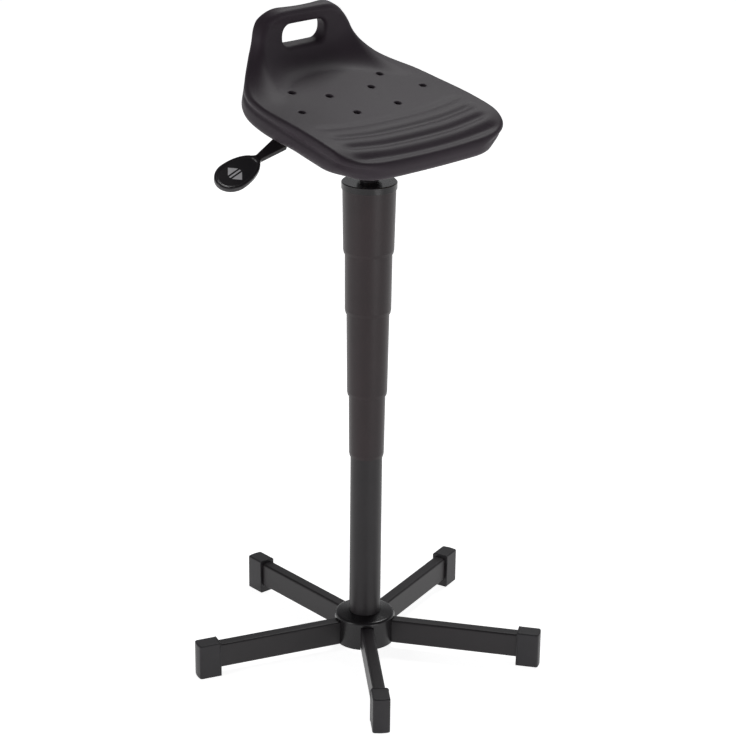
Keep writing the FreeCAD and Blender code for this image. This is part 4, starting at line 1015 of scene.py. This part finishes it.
# %% Grower: one Geometry Nodes tree
class Grower(Maker):
    """A Geometry Nodes tree under construction, with a number for each named size, and a finish."""

    def __init__(self, name, *sizes):
        super().__init__(bpy.data.node_groups.new(name, "GeometryNodeTree"))
        for label in sizes:
            kind = "NodeSocketInt" if label == "Count" else "NodeSocketFloat"
            self.tree.interface.new_socket(label, in_out="INPUT", socket_type=kind)
        self.tree.interface.new_socket("Finish", in_out="INPUT", socket_type="NodeSocketMaterial")
        self.tree.interface.new_socket("Geometry", in_out="OUTPUT", socket_type="NodeSocketGeometry")
        self.given = self.node("NodeGroupInput")

    def form(self, kind, settings=None, **feeds):
        """Adds a geometry node, with its inputs named by words, and returns its first output."""
        feeds = {key.replace("_", " "): value for key, value in feeds.items()}
        return self.node("GeometryNode" + kind, settings, feeds)[0]

    def finish(self, geometry):
        """Ends the tree: the copies become real, and get their material."""
        real = self.form("RealizeInstances", Geometry=geometry)
        coloured = self.form("SetMaterial", Geometry=real, Material=self.given["Finish"])
        self.node("NodeGroupOutput", feeds={"Geometry": coloured})

    def grow(self, name, **values):
        """Runs the tree once and keeps its result as a plain mesh."""
        made = bpy.data.objects.new(name, bpy.data.meshes.new(name))
        bpy.context.scene.collection.objects.link(made)
        modifier = made.modifiers.new("grown", "NODES")
        modifier.node_group = self.tree
        for item in self.tree.interface.items_tree:
            if item.in_out == "INPUT":
                modifier[item.identifier] = values[item.name.replace(" ", "_").lower()]
        mesh = bpy.data.meshes.new_from_object(made.evaluated_get(bpy.context.evaluated_depsgraph_get()))
        made.modifiers.clear()
        made.data = mesh
        print(name, "has", len(mesh.polygons), "faces")
        return made


# %% [markdown]
# ### Collars of the foot caps
#
# Each foot cap has a thin raised collar where the leg goes in. Its outline is a rectangle with round corners,
# a small circle is swept along it, and five copies turn about the column.

# %% Collars
tree = Grower("cap_collars", "Count", "First Angle", "Distance", "Width", "Low", "High", "Corner", "Bead")
given = tree.given
outline = tree.form("CurvePrimitiveQuadrilateral", Width=given["High"] - given["Low"], Height=given["Width"])
outline = tree.form("FilletCurve", Curve=outline, Radius=given["Corner"])
outline = tree.form("Transform", Geometry=outline, Rotation=(0, math.pi / 2, 0), Translation=tree.vector(
    given["Distance"], 0.0, (given["High"] + given["Low"]) * 0.5))
bead = tree.form("CurvePrimitiveCircle", Resolution=10, Radius=given["Bead"])
collar = tree.form("CurveToMesh", Curve=outline, Profile_Curve=bead)
on_axis = tree.form("MeshLine", Count=given["Count"], Offset=(0, 0, 0))
turn = given["First Angle"] + tree.form("InputIndex") / given["Count"] * (2 * math.pi)
tree.finish(tree.form("InstanceOnPoints", Points=on_axis, Instance=collar, Rotation=tree.vector(z=turn)))

collars = tree.grow("cap_collars", count=5, first_angle=math.radians(-128.14), distance=251.4 * MM,
                    width=26.4 * MM, low=1.3 * MM, high=57.2 * MM, corner=2.5 * MM, bead=1.2 * MM,
                    finish=finishes["foot_black"])
collars.data.polygons.foreach_set("use_smooth", [True] * len(collars.data.polygons))
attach(collars, "base")

# %% [markdown]
# ### Bolts under the seat
#
# Four bolts hold the steel plate to the board in the foam. From below one sees their round heads and the
# hexagon sockets in them. A socket is a six-sided prism taken out of the head, and the finished bolt is set
# on the four corners of a grid. Their depth is measured on the solid bolts that they replace.

# %% Where the solid bolts are
to_seat = seat_frame.inverted()
solid_bolts = np.array([tuple(to_seat @ vertex.co) for vertex in nodes["seat_bolts"].data.vertices])
bolt_low, bolt_high = solid_bolts.min(0), solid_bolts.max(0)
bolt_reach = [float(size) for size in bolt_high - bolt_low]
print("heads of the bolts at", [round(float(v) * 1000, 1) for v in bolt_low])

# %% Bolts with hexagon sockets
HEAD_RADIUS, HEAD_HEIGHT, SHANK_RADIUS = 6.6 * MM, 4.4 * MM, 3.95 * MM
SOCKET_RADIUS, SOCKET_DEEP = 2.9 * MM, 2.4 * MM

tree = Grower("seat_bolts", "Spread X", "Spread Y", "Length", "Head", "Head Height", "Shank",
              "Socket", "Depth")
given = tree.given
head = tree.form("MeshCylinder", Vertices=40, Radius=given["Head"], Depth=given["Head Height"])
head = tree.form("Transform", Geometry=head, Translation=tree.vector(z=given["Head Height"] * 0.5))
prism = tree.form("MeshCylinder", Vertices=6, Radius=given["Socket"], Depth=given["Depth"] * 2.0)
head = tree.form("MeshBoolean", {"operation": "DIFFERENCE"}, Mesh_1=head, Mesh_2=prism)
shank_long = given["Length"] - given["Head Height"]
shank = tree.form("MeshCylinder", Vertices=24, Radius=given["Shank"], Depth=shank_long)
shank_middle = given["Head Height"] + shank_long * 0.5
shank = tree.form("Transform", Geometry=shank, Translation=tree.vector(z=shank_middle))
bolt = tree.form("JoinGeometry", Geometry=[shank, head])
plate_corners = tree.form("MeshGrid", Size_X=given["Spread X"], Size_Y=given["Spread Y"],
                          Vertices_X=2, Vertices_Y=2)
tree.finish(tree.form("InstanceOnPoints", Points=plate_corners, Instance=bolt))

bolts = tree.grow("socket_bolts", spread_x=bolt_reach[0] - 2 * HEAD_RADIUS,
                  spread_y=bolt_reach[1] - 2 * HEAD_RADIUS, length=bolt_reach[2], head=HEAD_RADIUS,
                  head_height=HEAD_HEIGHT, shank=SHANK_RADIUS, socket=SOCKET_RADIUS, depth=SOCKET_DEEP,
                  finish=finishes["bright_steel"])
bolts_at = Vector(((bolt_low[0] + bolt_high[0]) / 2, (bolt_low[1] + bolt_high[1]) / 2, bolt_low[2]))
bolts.data.transform(seat_frame @ Matrix.Translation(bolts_at))
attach(bolts, "seat_carriage")
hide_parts("seat_bolts")
